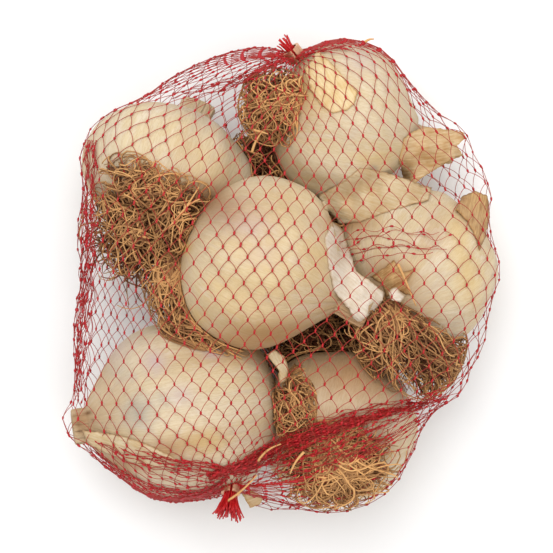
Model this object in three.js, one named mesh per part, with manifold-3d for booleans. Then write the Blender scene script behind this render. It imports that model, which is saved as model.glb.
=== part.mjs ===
// A knitted net bag of six garlic bulbs, lying on its side with the shown side up.
// The bag is one solid out to its lumpy outline: the bulbs, their dried roots and the net
// drawn taut between them, with the gathered net passing through a metal clip at each end.
// Millimetres. +Z is up, and +Y runs towards the bag's top clip.
import * as THREE from 'three';
import { ConvexHull } from 'three/addons/math/ConvexHull.js';
import { mergeVertices } from 'three/addons/utils/BufferGeometryUtils.js';
import Module from 'manifold-3d';

const wasm = await Module();
wasm.setup();

// ---- driving dimensions ---------------------------------------------------------------------
const BULB_RADIUS = 29; // a large bulb, 58 mm across
const BASE_ROUNDNESS = 2.3;
const SHOULDER_HOLLOW = 1.1;
const NECK_FLATTENING = 0.4; // how much wider and thinner the papery neck is at its cut end
const CLOVE_RELIEF = 0.6; // how far the cloves swell the bulb between their grooves
const ROOT_PLATE_DEPTH = 0.79; // the plate lies hollow inside its rim, as a share of the depth
const ROOT_PLATE_RIM = -0.93; // where the rim lies on the way from the base to the belly
const CLOVE_UNEVENNESS = 0.14; // some cloves are wider than others, in radians
const BULB_RINGS = 11;
const FLAT_DEPTH = 0.7; // a bulb that rests on the table is pressed flat by this much

const SKIN_INSET = 2.2; // the net between the bulbs lies this far below their crests
const SKIN_DETAIL = 6;
const SAG_STEPS = 30; // how far the net gives way between the bulbs that it is drawn over
const SIDE_GIVE = 0.16; // on the sides it stays nearly straight from bulb to bulb
const TOP_GIVE = 0.5; // on the upper side it is slack
const TOP_DROP = 3.6; // and sinks into the valleys by this much in each step
const SHEET_STEP = 7; // the grid on which the upper side is let in between the bulbs
const SHEET_CELLS = [24, 26];
const SHEET_SAGS = 14;
const SHEET_DROP = 3.2;
const BAG_MIDDLE = new THREE.Vector3(0, 0, 32);
const FAR_AWAY = 150;

const ROOT_THICKNESS = 1.4; // a dried root, or two that cling together
const ROOTS_PER_TUFT = 6;
const ROOT_STEPS = 5;
const ROOT_POINTS = 5;
const TUFT_BUMPS = 0.05; // relief of the matted roots, as a share of the tuft's size

const PLEAT_SIDES = 5;
const WAIST_RADIUS = 2.1; // the net bunched inside a clip
const GATHER_LENGTH = 16; // from a clip back to where the gathered net meets the bag
const GATHER_RADIUS = 10;
const CLIP_HEIGHT = 4.8;
const CLIP_WALL = 0.9;
const CLIP_GAP = 0.35; // clearance between a clip and the net it holds
const CLIP_SLIT = 0.8; // between the two ends of the clip's strip
const TAIL_STRANDS = 7;
const TAIL_THICKNESS = 1.6; // a lock of cut strands
const TAIL_SPREAD = [0.8, 2.1, 3.6]; // how far a lock stands from the middle along its length
const TABLE_SPAN = 400;
const WELD = 0.02;

// What the bulbs have where their own line says nothing else: from the belly to the root plate
// and from the belly to the foot of the neck, as shares of the bulb's radius, how full the
// shoulder is, and the neck's radius.
const USUAL = { depth: 0.84, rise: 1, fullness: 1.35, neckRadius: 5.2 };

// The bulbs: where the belly is, which way the neck points, the size as a share of the usual
// radius, the neck's length and the number of cloves. Without a height a bulb stands on the
// table.
const BULBS = [
  { at: [-38.2, 34.6], neck: [0.33, 0.82, -0.42], size: 1.05, neckLength: 6, cloves: 9,
    depth: 0.7, rise: 0.86, fullness: 1.45 },
  { at: [22.8, 54.2], neck: [0.97, -0.24, -0.05], size: 0.98, neckLength: 15, cloves: 8,
    rise: 0.92, neckRadius: 7 },
  { at: [48.2, 3.2], neck: [0.45, 0.55, -0.7], size: 1.01, neckLength: 5, cloves: 10 },
  { at: [20.9, -52.4], neck: [0.22, 0.6, -0.77], size: 0.97, neckLength: 3, cloves: 8, rise: 0.95 },
  { at: [-26, -45.2], neck: [-0.97, -0.15, 0.2], size: 1.08, neckLength: 5, cloves: 9,
    rise: 1.3, fullness: 1.9 },
  { at: [-5.7, 4.6, 50], neck: [0.915, -0.4, 0.05], size: 1.03, neckLength: 11, cloves: 9, depth: 0.88 },
].map((bulb) => ({ ...USUAL, ...bulb }));

// The root tufts: the middle and half sizes of each mat, its turn about Z in degrees, and the
// point its roots spring from.
const TUFTS = [
  { at: [-50, 13, 36], half: [18, 24, 16], turn: 0, spring: [-45, 20, 42] },
  { at: [-31, -10, 43], half: [12, 24, 13], turn: 28, spring: [-28, 8, 50] },
  { at: [-1, 59, 38], half: [13, 14, 14], turn: 0, spring: [4, 59, 40] },
  { at: [45, -26, 43], half: [25, 15, 13], turn: -38, spring: [38, -13, 50] },
  { at: [21, -63, 44], half: [25, 18, 12], turn: 14, spring: [19, -63, 53] },
  { at: [9, -44, 32], half: [9, 15, 15], turn: 0, spring: [2, -43, 36] },
];

// Where the net is bunched and stiff enough to stand off what it holds: the middle, half sizes
// and turn of each bulge.
const BULGES = [
  { at: [-24, 64, 27], half: [30, 10.5, 14], turn: 25 },
  { at: [2, -72, 14], half: [16, 11, 10], turn: 0 },
  { at: [66, 26, 30], half: [8.5, 15, 12], turn: 0 },
  { at: [61.6, -23.8, 32], half: [18, 9, 13], turn: 62 },
  { at: [-63.5, -28.5, 31], half: [6.4, 24, 14], turn: 5 },
  { at: [-51.8, -60.2, 34], half: [19, 9, 12], turn: -35.5 },
];

// The two ends: the middle of the waist, the way the tail points and the length of the tail.
const ENDS = [
  { name: 'bottom_clip', at: [-15.5, -72.5, 42], tail: [-0.12, -0.9, 0.42], tailLength: 7.5 },
  { name: 'top_clip', at: [6.2, 77.3, 33], tail: [-0.6, 0.75, 0.28], tailLength: 4.5 },
];

// Ropes of gathered net, as the x and y of points that lie on the bag's upper side.
const PLEATS = [
  { radius: 1.9, run: [[-13, -67], [-4, -60], [8, -53], [22, -47], [36, -42], [50, -40]] },
  { radius: 1.6, run: [[-11, -69], [0, -64], [12, -58], [26, -53]] },
  { radius: 1.6, run: [[-18, -69], [-28, -70], [-40, -69], [-52, -64]] },
  { radius: 1.5, run: [[-30, 64], [-20, 68], [-10, 70], [-1, 73], [5, 76]] },
  { radius: 1.5, run: [[6, 75], [12, 77], [19, 79], [27, 80]] },
];

// ---- solids and geometries ------------------------------------------------------------------
function toSolid(geometry) {
  const bare = geometry.clone();
  bare.deleteAttribute('normal');
  bare.deleteAttribute('uv');
  const merged = mergeVertices(bare, 1e-3);
  return new wasm.Manifold(new wasm.Mesh({
    numProp: 3,
    vertProperties: merged.attributes.position.array,
    triVerts: new Uint32Array(merged.index.array),
  }));
}

// Faces without those that have collapsed, and without two that lie back to back.
function soundFaces(faces) {
  const kept = new Map();
  for (const face of faces) {
    const key = face.toSorted().join(' ');
    if (new Set(face).size < 3) continue;
    if (kept.has(key)) kept.delete(key);
    else kept.set(key, face);
  }
  return [...kept.values()];
}

// An edge at which more than two faces meet, if there is one.
function pinchedEdge(faces) {
  const uses = new Map();
  for (const face of faces) {
    for (let k = 0; k < 3; k += 1) {
      const edge = [face[k], face[(k + 1) % 3]].toSorted().join(' ');
      uses.set(edge, (uses.get(edge) ?? 0) + 1);
    }
  }
  const found = [...uses].find(([, count]) => count > 2);
  return found && found[0].split(' ').map(Number);
}

// The faces of a solid, with corners closer than the weld made one and pinched edges closed up.
function toGeometry(solid) {
  const mesh = solid.getMesh();
  const fine = new THREE.BufferGeometry();
  fine.setAttribute('position', new THREE.BufferAttribute(mesh.vertProperties, mesh.numProp));
  fine.setIndex(new THREE.BufferAttribute(mesh.triVerts, 1));
  const geometry = mergeVertices(fine, WELD);
  const corners = [...geometry.index.array];
  let faces = soundFaces(corners.map((_, i) => corners.slice(i, i + 3)).filter((_, i) => i % 3 === 0));
  for (let edge = pinchedEdge(faces); edge; edge = pinchedEdge(faces)) {
    const [kept, dropped] = edge;
    faces = soundFaces(faces.map((face) => face.map((corner) => (corner === dropped ? kept : corner))));
  }
  geometry.setIndex(faces.flat());
  geometry.computeVertexNormals();
  return geometry;
}

function movePoints(geometry, move) {
  const places = geometry.attributes.position;
  const point = new THREE.Vector3();
  for (let i = 0; i < places.count; i += 1) {
    point.fromBufferAttribute(places, i);
    move(point);
    places.setXYZ(i, point.x, point.y, point.z);
  }
  return geometry;
}

function roundBall(detail) {
  const geometry = new THREE.IcosahedronGeometry(1, detail);
  return mergeVertices(geometry.deleteAttribute('uv').deleteAttribute('normal'), 1e-4);
}

// A round or square bar along a smooth curve through the points.
function bar(points, radius, sides, steps) {
  const section = new THREE.Shape();
  for (let i = 0; i < sides; i += 1) {
    const angle = (i / sides) * 2 * Math.PI;
    section[i ? 'lineTo' : 'moveTo'](radius * Math.cos(angle), radius * Math.sin(angle));
  }
  section.closePath();
  const path = new THREE.CatmullRomCurve3(points);
  return new THREE.ExtrudeGeometry(section, { steps, bevelEnabled: false, extrudePath: path });
}

// ---- the bulbs ------------------------------------------------------------------------------
// The bulb's radius as a share of the full one, from the base at -1 past the belly at 0 to the
// foot of the neck at 1.
function bulbProfile(share, fullness, neckShare) {
  if (share < 0) return (1 - (-share) ** BASE_ROUNDNESS) ** 0.5;
  const swell = Math.cos((Math.PI / 2) * share ** fullness) ** SHOULDER_HOLLOW;
  return neckShare + (1 - neckShare) * swell;
}

// Half of the bulb's section, as radius and height, from the root plate up to the neck's cut end.
function bulbOutline(bulb) {
  const radius = BULB_RADIUS * bulb.size;
  const outline = [new THREE.Vector2(0, -ROOT_PLATE_DEPTH * bulb.depth * radius)];
  for (let i = 0; i <= BULB_RINGS; i += 1) {
    const turn = THREE.MathUtils.lerp(ROOT_PLATE_RIM, 1, i / BULB_RINGS); // closer rings at the ends
    const share = Math.sin((Math.PI / 2) * turn);
    const height = share * radius * (share < 0 ? bulb.depth : bulb.rise);
    const out = radius * bulbProfile(share, bulb.fullness, bulb.neckRadius / radius);
    outline.push(new THREE.Vector2(out, height));
  }
  const end = bulb.rise * radius + bulb.neckLength;
  outline.push(new THREE.Vector2(bulb.neckRadius, end), new THREE.Vector2(0, end));
  return outline;
}

// Upright on its own axis, +Y towards the neck, belly at the origin.
function uprightBulb(bulb) {
  const radius = BULB_RADIUS * bulb.size;
  const top = bulb.rise * radius;
  const geometry = new THREE.LatheGeometry(bulbOutline(bulb), 2 * bulb.cloves);
  return movePoints(geometry, (point) => {
    const angle = Math.atan2(point.x, point.z);
    const fullness = Math.max(0, 1 - (point.y / top) ** 2);
    const relief = CLOVE_RELIEF * fullness * Math.cos(bulb.cloves * angle);
    const out = Math.hypot(point.x, point.z) * (1 + relief / radius);
    const turned = angle + CLOVE_UNEVENNESS * Math.sin(2 * angle + bulb.cloves);
    const flatten = NECK_FLATTENING * THREE.MathUtils.smoothstep(point.y, 0.8 * top, top + bulb.neckLength);
    point.x = out * Math.sin(turned) * (1 + flatten);
    point.z = out * Math.cos(turned) * (1 - flatten);
  });
}

// The turn and place of each bulb, worked out once: those on the table sink in by the flat depth.
function placeBulb(bulb) {
  const neck = new THREE.Vector3(...bulb.neck).normalize();
  const turn = new THREE.Quaternion().setFromUnitVectors(new THREE.Vector3(0, 1, 0), neck);
  const geometry = uprightBulb(bulb).applyQuaternion(turn);
  geometry.computeBoundingBox();
  const height = bulb.at[2] ?? -FLAT_DEPTH - geometry.boundingBox.min.z;
  const centre = new THREE.Vector3(bulb.at[0], bulb.at[1], height);
  geometry.translate(centre.x, centre.y, centre.z);
  return { geometry, centre, back: turn.clone().invert(), outline: bulbOutline(bulb) };
}

const placedBulbs = BULBS.map(placeBulb);

// ---- the net's skin -------------------------------------------------------------------------
function ellipsoidDistance(point, half) {
  const scaled = point.clone().divide(half);
  const steep = scaled.clone().divide(half).length();
  const length = scaled.length();
  return steep < 1e-9 ? -Math.min(half.x, half.y, half.z) : (length * (length - 1)) / steep;
}

function segmentDistance(from, to, x, y) {
  const [dx, dy] = [to.x - from.x, to.y - from.y];
  const share = ((x - from.x) * dx + (y - from.y) * dy) / (dx * dx + dy * dy);
  const nearest = THREE.MathUtils.clamp(share, 0, 1);
  return Math.hypot(x - from.x - nearest * dx, y - from.y - nearest * dy);
}

// How far a point is outside a bulb, measured to its outline.
function bulbDistance(placed, point) {
  const local = point.clone().sub(placed.centre).applyQuaternion(placed.back);
  const radius = Math.hypot(local.x, local.z);
  let distance = Infinity;
  let inside = false;
  placed.outline.slice(1).forEach((to, index) => {
    const from = placed.outline[index];
    distance = Math.min(distance, segmentDistance(from, to, radius, local.y));
    if (local.y < Math.min(from.y, to.y) || local.y >= Math.max(from.y, to.y)) return;
    const across = THREE.MathUtils.mapLinear(local.y, from.y, to.y, from.x, to.x);
    if (radius < across) inside = !inside;
  });
  return inside ? -distance : distance;
}

function turnAboutZ(degrees) {
  return new THREE.Quaternion().setFromAxisAngle(
    new THREE.Vector3(0, 0, 1),
    THREE.MathUtils.degToRad(degrees),
  );
}

// How far a point is outside a mat of roots or a bulge.
function moundDistance(mound, point) {
  const local = point.clone().sub(new THREE.Vector3(...mound.at));
  local.applyQuaternion(turnAboutZ(-mound.turn));
  return ellipsoidDistance(local, new THREE.Vector3(...mound.half));
}

// How far a point is outside the bulbs and the mats of roots.
function contentsDistance(point) {
  return Math.min(
    ...placedBulbs.map((placed) => bulbDistance(placed, point)),
    ...TUFTS.map((tuft) => moundDistance(tuft, point)),
  );
}

// How far a point is outside all that holds the net out.
function supportDistance(point) {
  return Math.min(contentsDistance(point), ...BULGES.map((bulge) => moundDistance(bulge, point)));
}

// Walks from outside the bag along a ray to the surface, or to where the ray passes nearest.
function firstHit(from, towards, distance) {
  const point = from.clone();
  const nearest = from.clone();
  let smallest = Infinity;
  for (let i = 0; i < 200; i += 1) {
    const gap = distance(point);
    if (gap < smallest) {
      smallest = gap;
      nearest.copy(point);
    }
    if (gap < 0.02) break;
    point.addScaledVector(towards, Math.max(0.7 * gap, 0.02));
  }
  return nearest;
}

// The convex outline of all that holds the net out, as far as both of its gathered ends.
function convexOutline() {
  const solids = [...placedBulbs.map((placed) => placed.geometry), ...[...TUFTS, ...BULGES].map(mound)];
  const points = solids.flatMap((geometry) => {
    const places = geometry.attributes.position;
    return Array.from({ length: places.count }, (_, i) => new THREE.Vector3().fromBufferAttribute(places, i));
  });
  return new ConvexHull().setFromPoints([...points, ...ENDS.map((end) => alongTail(end, -CLIP_HEIGHT))]);
}

// Which vertices share an edge.
function neighboursOf(geometry) {
  const corners = geometry.index.array;
  const neighbours = Array.from({ length: geometry.attributes.position.count }, () => new Set());
  for (let i = 0; i < corners.length; i += 3) {
    for (let k = 0; k < 3; k += 1) {
      neighbours[corners[i + k]].add(corners[i + ((k + 1) % 3)]).add(corners[i + ((k + 2) % 3)]);
    }
  }
  return neighbours.map((set) => [...set]);
}

// Drawn tight as a convex skin first, then let in between the things it is drawn over.
function netSkin() {
  const geometry = roundBall(SKIN_DETAIL);
  const outwards = Array.from(
    { length: geometry.attributes.position.count },
    (_, i) => new THREE.Vector3().fromBufferAttribute(geometry.attributes.position, i).normalize(),
  );
  const hull = convexOutline();
  const limits = outwards.map((outward) => {
    const start = BAG_MIDDLE.clone().addScaledVector(outward, FAR_AWAY);
    const hit = firstHit(start, outward.clone().negate(), supportDistance);
    return Math.abs(supportDistance(hit)) < 0.1 ? hit.distanceTo(BAG_MIDDLE) - SKIN_INSET : 0;
  });
  const drawnTight = outwards.map((outward) => {
    const hit = hull.intersectRay(new THREE.Ray(BAG_MIDDLE, outward), new THREE.Vector3());
    return hit.distanceTo(BAG_MIDDLE) - SKIN_INSET;
  });
  const reach = [...drawnTight];
  const neighbours = neighboursOf(geometry);
  for (let step = 0; step < SAG_STEPS; step += 1) {
    outwards.forEach((outward, i) => {
      const upward = Math.max(0, outward.z);
      const sum = neighbours[i].reduce((total, j) => total + reach[j] * outwards[j].dot(outward), 0);
      const give = SIDE_GIVE + TOP_GIVE * upward;
      const eased = THREE.MathUtils.lerp(reach[i], sum / neighbours[i].length, give) - TOP_DROP * upward;
      reach[i] = THREE.MathUtils.clamp(eased, limits[i], drawnTight[i]);
    });
  }
  const places = geometry.attributes.position;
  outwards.forEach((outward, i) => {
    const place = BAG_MIDDLE.clone().addScaledVector(outward, reach[i]);
    places.setXYZ(i, place.x, place.y, place.z);
  });
  return geometry;
}

function heightOf(mesh, x, y) {
  const down = new THREE.Raycaster(new THREE.Vector3(x, y, FAR_AWAY), new THREE.Vector3(0, 0, -1));
  const [hit] = down.intersectObject(mesh);
  return hit ? hit.point.z : 0;
}

// Everything under the net's upper side, which sinks between the bulbs as seen from above.
function sunkenBlock() {
  const [across, along] = SHEET_CELLS;
  const [width, length] = [across * SHEET_STEP, along * SHEET_STEP];
  const places = Array.from({ length: (across + 1) * (along + 1) }, (_, i) => new THREE.Vector3(
    (i % (across + 1)) * SHEET_STEP - width / 2,
    Math.floor(i / (across + 1)) * SHEET_STEP - length / 2,
    FAR_AWAY,
  ));
  const limits = places.map((place) => {
    const hit = firstHit(place, new THREE.Vector3(0, 0, -1), supportDistance);
    return Math.abs(supportDistance(hit)) < 0.1 ? hit.z - SKIN_INSET : 0;
  });
  const starts = places.map(({ x, y }) => heightOf(skinMesh, x, y));
  const heights = starts.map((start) => start || FAR_AWAY / 2);
  const beside = [1, -1, across + 1, -across - 1];
  const free = starts.map((start, i) => start && beside.every((step) => starts[i + step]));
  for (let step = 0; step < SHEET_SAGS; step += 1) {
    places.forEach((_, i) => {
      if (!free[i]) return;
      const mean = beside.reduce((sum, offset) => sum + heights[i + offset], 0) / beside.length;
      const eased = THREE.MathUtils.lerp(heights[i], mean, TOP_GIVE) - SHEET_DROP;
      heights[i] = Math.max(limits[i], Math.min(heights[i], eased));
    });
  }
  const block = new THREE.BoxGeometry(width, length, 1, across, along, 1);
  return movePoints(block, (point) => {
    const column = Math.round((point.x + width / 2) / SHEET_STEP);
    const row = Math.round((point.y + length / 2) / SHEET_STEP);
    point.z = point.z > 0 ? heights[row * (across + 1) + column] : -SHEET_STEP;
  });
}

// The surface of the bag above a point of the table: a root or a pleat lies on it.
function topOfBag(x, y) {
  const down = new THREE.Raycaster(new THREE.Vector3(x, y, FAR_AWAY), new THREE.Vector3(0, 0, -1));
  const skinTop = Math.min(heightOf(skinMesh, x, y), heightOf(sunkenMesh, x, y));
  const onContents = firstHit(down.ray.origin, down.ray.direction, contentsDistance);
  return new THREE.Vector3(x, y, Math.max(skinTop, onContents.z));
}

// ---- roots, pleats and ends -----------------------------------------------------------------
// A mat of roots, or a bulge's support: an uneven ball drawn out to its half sizes.
function mound(facts) {
  const geometry = roundBall(3);
  const [a, b, c] = facts.half;
  movePoints(geometry, (point) => {
    const ripple = Math.sin(7 * point.x + 2 * point.y) * Math.sin(8 * point.y - 3 * point.z)
      + Math.sin(11 * point.z + 5 * point.x);
    point.multiplyScalar(1 + TUFT_BUMPS * ripple);
    point.multiply(new THREE.Vector3(a, b, c));
  });
  return geometry.applyQuaternion(turnAboutZ(facts.turn)).translate(...facts.at);
}

// One root: it leaves the spring point, runs over the mat and bends as it goes.
function rootOf(tuft, index) {
  const seed = 101 * index + 13 * tuft.half[1];
  const draw = (salt) => THREE.MathUtils.seededRandom(seed + salt);
  const spring = new THREE.Vector3(...tuft.spring);
  const heading = 2 * Math.PI * ((index + 0.6 * draw(1)) / ROOTS_PER_TUFT);
  const reach = 0.75 + 0.35 * draw(2);
  const bend = (draw(3) - 0.5) * 2.2;
  const centre = new THREE.Vector3(...tuft.at);
  const points = [];
  for (let i = 0; i < ROOT_POINTS; i += 1) {
    const share = i / (ROOT_POINTS - 1);
    const along = share * reach;
    const angle = heading + bend * along;
    const goal = new THREE.Vector3(
      tuft.half[0] * Math.cos(angle),
      tuft.half[1] * Math.sin(angle),
      0,
    ).applyQuaternion(turnAboutZ(tuft.turn)).add(centre);
    const over = spring.clone().lerp(goal, 0.15 + 0.75 * along);
    const lift = ROOT_THICKNESS * (1.5 * Math.sin(Math.PI * share) - 0.3); // both ends are sunk
    points.push(topOfBag(over.x, over.y).add(new THREE.Vector3(0, 0, lift)));
  }
  return bar(points, ROOT_THICKNESS / 2, 3, ROOT_STEPS);
}

function pleat(rope) {
  const points = rope.run.map(([x, y]) => topOfBag(x, y));
  return bar(points, rope.radius, PLEAT_SIDES, 2 * rope.run.length);
}

function alongTail(end, distance) {
  const tail = new THREE.Vector3(...end.tail).normalize();
  return new THREE.Vector3(...end.at).addScaledVector(tail, distance);
}

// The turn that takes +Y to the way the tail points.
function turnOfTail(end) {
  const tail = new THREE.Vector3(...end.tail).normalize();
  return new THREE.Quaternion().setFromUnitVectors(new THREE.Vector3(0, 1, 0), tail);
}

// Gathered net: a cone down to the waist, the waist, and the flare of the cut end.
function gatheredEnd(end) {
  const half = CLIP_HEIGHT / 2;
  const outline = [
    [0, -half - GATHER_LENGTH],
    [GATHER_RADIUS, -half - GATHER_LENGTH],
    [0.6 * GATHER_RADIUS, -half - 0.55 * GATHER_LENGTH],
    [WAIST_RADIUS + 1.2, -half - 0.1 * GATHER_LENGTH],
    [WAIST_RADIUS, -half],
    [WAIST_RADIUS, half],
    [WAIST_RADIUS + 1.3, half + 0.4 * end.tailLength],
    [0, half + 0.5 * end.tailLength],
  ].map(([x, y]) => new THREE.Vector2(x, y));
  const geometry = new THREE.LatheGeometry(outline, 12).applyQuaternion(turnOfTail(end));
  return geometry.translate(...end.at);
}

function tailStrand(end, index) {
  const half = CLIP_HEIGHT / 2;
  const angle = (index / TAIL_STRANDS) * 2 * Math.PI;
  const length = end.tailLength * (0.8 + 0.3 * THREE.MathUtils.seededRandom(index + 5));
  const points = TAIL_SPREAD.map((spread, step) => {
    const along = half + CLIP_GAP + (length * step) / 2;
    return new THREE.Vector3(spread * Math.cos(angle), along, spread * Math.sin(angle));
  });
  const geometry = bar(points, TAIL_THICKNESS / 2, 3, 3).applyQuaternion(turnOfTail(end));
  return geometry.translate(...end.at);
}

// A strip of metal bent into a ring round the waist, the slit between its two ends facing up.
function clipGeometry(end) {
  const inner = WAIST_RADIUS + CLIP_GAP;
  const outer = inner + CLIP_WALL;
  const slit = CLIP_SLIT / 2 / outer;
  const strip = new THREE.Shape();
  strip.absarc(0, 0, outer, slit, 2 * Math.PI - slit, false);
  strip.absarc(0, 0, inner, 2 * Math.PI - slit * (outer / inner), slit * (outer / inner), true);
  strip.closePath();
  const options = { depth: CLIP_HEIGHT, bevelEnabled: false, curveSegments: 20 };
  const geometry = new THREE.ExtrudeGeometry(strip, options);
  geometry.translate(0, 0, -CLIP_HEIGHT / 2);
  geometry.rotateX(-Math.PI / 2); // the ring's axis now runs along +Y, its slit along +X
  const up = new THREE.Vector3(0, 0, 1).applyQuaternion(turnOfTail(end).invert());
  return geometry.rotateY(Math.atan2(up.x, up.z) - Math.PI / 2);
}

// ---- the parts ------------------------------------------------------------------------------
const skinMesh = new THREE.Mesh(netSkin());
const sunkenMesh = new THREE.Mesh(sunkenBlock());

function fuse(solids) {
  return solids.reduce((sum, solid) => sum.add(solid));
}

// The largest body alone: sealed hollows are filled and loose scraps dropped.
function soundBody(solid) {
  const bodies = solid.decompose();
  return bodies.reduce((best, body) => (body.volume() > best.volume() ? body : best));
}

function aboveTable(solid) {
  const block = new THREE.BoxGeometry(TABLE_SPAN, TABLE_SPAN, TABLE_SPAN);
  block.translate(0, 0, TABLE_SPAN / 2);
  return solid.intersect(toSolid(block));
}

function netBag() {
  const roots = TUFTS.flatMap((tuft) => Array.from(
    { length: ROOTS_PER_TUFT },
    (_, index) => toSolid(rootOf(tuft, index)),
  ));
  const strands = ENDS.flatMap((end) => Array.from(
    { length: TAIL_STRANDS },
    (_, index) => toSolid(tailStrand(end, index)),
  ));
  const solid = fuse([
    toSolid(skinMesh.geometry).intersect(toSolid(sunkenMesh.geometry)),
    ...placedBulbs.map((placed) => toSolid(placed.geometry)),
    ...TUFTS.map((tuft) => toSolid(mound(tuft))),
    ...roots,
    ...PLEATS.map((rope) => toSolid(pleat(rope))),
    ...ENDS.map((end) => toSolid(gatheredEnd(end))),
    ...strands,
  ]);
  return soundBody(aboveTable(solid));
}

// The space a clip needs round the waist, cleared out of the bag.
function clipRoom(end) {
  const outer = WAIST_RADIUS + 2 * CLIP_GAP + CLIP_WALL;
  const height = CLIP_HEIGHT + 2 * CLIP_GAP;
  const outline = [[WAIST_RADIUS, -height / 2], [outer, -height / 2], [outer, height / 2],
    [WAIST_RADIUS, height / 2], [WAIST_RADIUS, -height / 2]].map(([x, y]) => new THREE.Vector2(x, y));
  const geometry = new THREE.LatheGeometry(outline, 24).applyQuaternion(turnOfTail(end));
  return geometry.translate(...end.at);
}

const bag = new THREE.Group();

const netMaterial = new THREE.MeshStandardMaterial({ color: 0xdcb592, roughness: 0.7, metalness: 0 });
const clipMaterial = new THREE.MeshStandardMaterial({ color: 0xc89a78, roughness: 0.35, metalness: 0.9 });

const rooms = ENDS.map((end) => toSolid(clipRoom(end)));
const net = rooms.reduce((solid, room) => solid.subtract(room), netBag());
const netMesh = new THREE.Mesh(toGeometry(soundBody(net)), netMaterial);
netMesh.name = 'net_bag';
bag.add(netMesh);

for (const end of ENDS) {
  const clip = new THREE.Mesh(clipGeometry(end), clipMaterial);
  clip.name = end.name;
  clip.quaternion.copy(turnOfTail(end));
  clip.position.set(...end.at);
  bag.add(clip);
}

// The origin is under the middle of the bag, on the table.
const bounds = new THREE.Box3().setFromObject(bag, true);
const middle = bounds.getCenter(new THREE.Vector3());
bag.position.set(-middle.x, -middle.y, -bounds.min.z);

export default bag;
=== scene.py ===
"""A red knitted net of garlic lying on its side: six bulbs with their papery skins and dried
roots, the net drawn over them, and a metal clip at each gathered end.

Shapes are worked out in millimetres in the same places as the solid model, and become metres
when their mesh is made. The camera looks straight down from above the table."""

import math

import bpy
import numpy as np
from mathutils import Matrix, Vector
from mathutils.geometry import delaunay_2d_cdt


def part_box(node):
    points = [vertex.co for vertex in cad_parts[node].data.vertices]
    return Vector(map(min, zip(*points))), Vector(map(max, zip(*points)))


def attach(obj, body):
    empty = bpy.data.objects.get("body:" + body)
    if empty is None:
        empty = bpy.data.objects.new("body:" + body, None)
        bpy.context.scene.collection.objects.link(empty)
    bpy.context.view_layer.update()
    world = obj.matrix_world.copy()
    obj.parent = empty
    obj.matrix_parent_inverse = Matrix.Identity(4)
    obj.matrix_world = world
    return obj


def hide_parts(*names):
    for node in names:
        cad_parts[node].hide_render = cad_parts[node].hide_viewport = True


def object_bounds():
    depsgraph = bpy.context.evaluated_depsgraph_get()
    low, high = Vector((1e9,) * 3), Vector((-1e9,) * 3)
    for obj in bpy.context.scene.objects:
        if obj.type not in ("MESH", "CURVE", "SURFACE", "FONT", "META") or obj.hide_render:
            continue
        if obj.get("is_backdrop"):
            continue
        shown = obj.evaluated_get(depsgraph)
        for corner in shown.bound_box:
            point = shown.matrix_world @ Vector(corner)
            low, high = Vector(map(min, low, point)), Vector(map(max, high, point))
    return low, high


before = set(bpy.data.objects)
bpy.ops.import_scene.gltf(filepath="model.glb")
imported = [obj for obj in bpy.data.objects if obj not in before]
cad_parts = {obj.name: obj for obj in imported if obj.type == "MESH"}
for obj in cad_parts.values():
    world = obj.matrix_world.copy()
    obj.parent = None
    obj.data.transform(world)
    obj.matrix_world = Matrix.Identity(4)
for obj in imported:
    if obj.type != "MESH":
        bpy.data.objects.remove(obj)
CAD_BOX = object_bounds()

MM = 0.001
BAG = "net_bag"
BODY = "root"

# ---- driving dimensions, in millimetres -------------------------------------------------------
BULB_RADIUS = 29.0
BASE_ROUNDNESS = 2.3
SHOULDER_HOLLOW = 1.1
NECK_FLATTENING = 0.4
CLOVE_RELIEF = 0.6
CLOVE_UNEVENNESS = 0.14
ROOT_PLATE_DEPTH = 0.79  # as a share of the depth
ROOT_PLATE_RIM = -0.93
FLAT_DEPTH = 0.7
SECTION_RINGS = 24

# The usual bulb: belly to root plate and belly to neck's foot as shares of its radius, how full
# the shoulder is, the neck's radius, and how much slimmer its end is, as a share.
USUAL = dict(depth=0.84, rise=1.0, fullness=1.35, neck_radius=5.2, neck_taper=0.2)
BULBS = {
    "upper_left": dict(at=(-38.2, 34.6, None), neck=(0.33, 0.82, -0.42), size=1.05, depth=0.7,
        rise=0.86, fullness=1.45, neck_length=6, cloves=9),
    "upper_right": dict(at=(22.8, 54.2, None), neck=(0.97, -0.24, -0.05), size=0.98, rise=0.92,
        neck_radius=7, neck_taper=0.5, neck_length=15, cloves=8),
    "right": dict(at=(48.2, 3.2, None), neck=(0.45, 0.55, -0.7), size=1.01, neck_length=5, cloves=10),
    "lower_right": dict(at=(20.9, -52.4, None), neck=(0.22, 0.6, -0.77), size=0.97, rise=0.95,
        neck_length=3, cloves=8),
    "lower_left": dict(at=(-26, -45.2, None), neck=(-0.97, -0.15, 0.2), size=1.08, rise=1.3,
        fullness=1.9, neck_length=5, cloves=9),
    "middle": dict(at=(-5.7, 4.6, 50), neck=(0.915, -0.4, 0.05), size=1.03, depth=0.88,
        neck_length=11, cloves=9),
}


def mat(at, half, turn, spring, heading, count, curl, loose=0.45, light=0.0):
    """A mat of roots: its middle, half sizes and turn about Z, where its roots spring from, which
    way they set off, how many there are, how they curl, how far they stray and how much paler they
    are, which on the mats that lie on top is partly painted light."""
    return dict(at=at, half=half, turn=turn, spring=spring, heading=heading, count=count, curl=curl,
                loose=loose, light=light)


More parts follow.
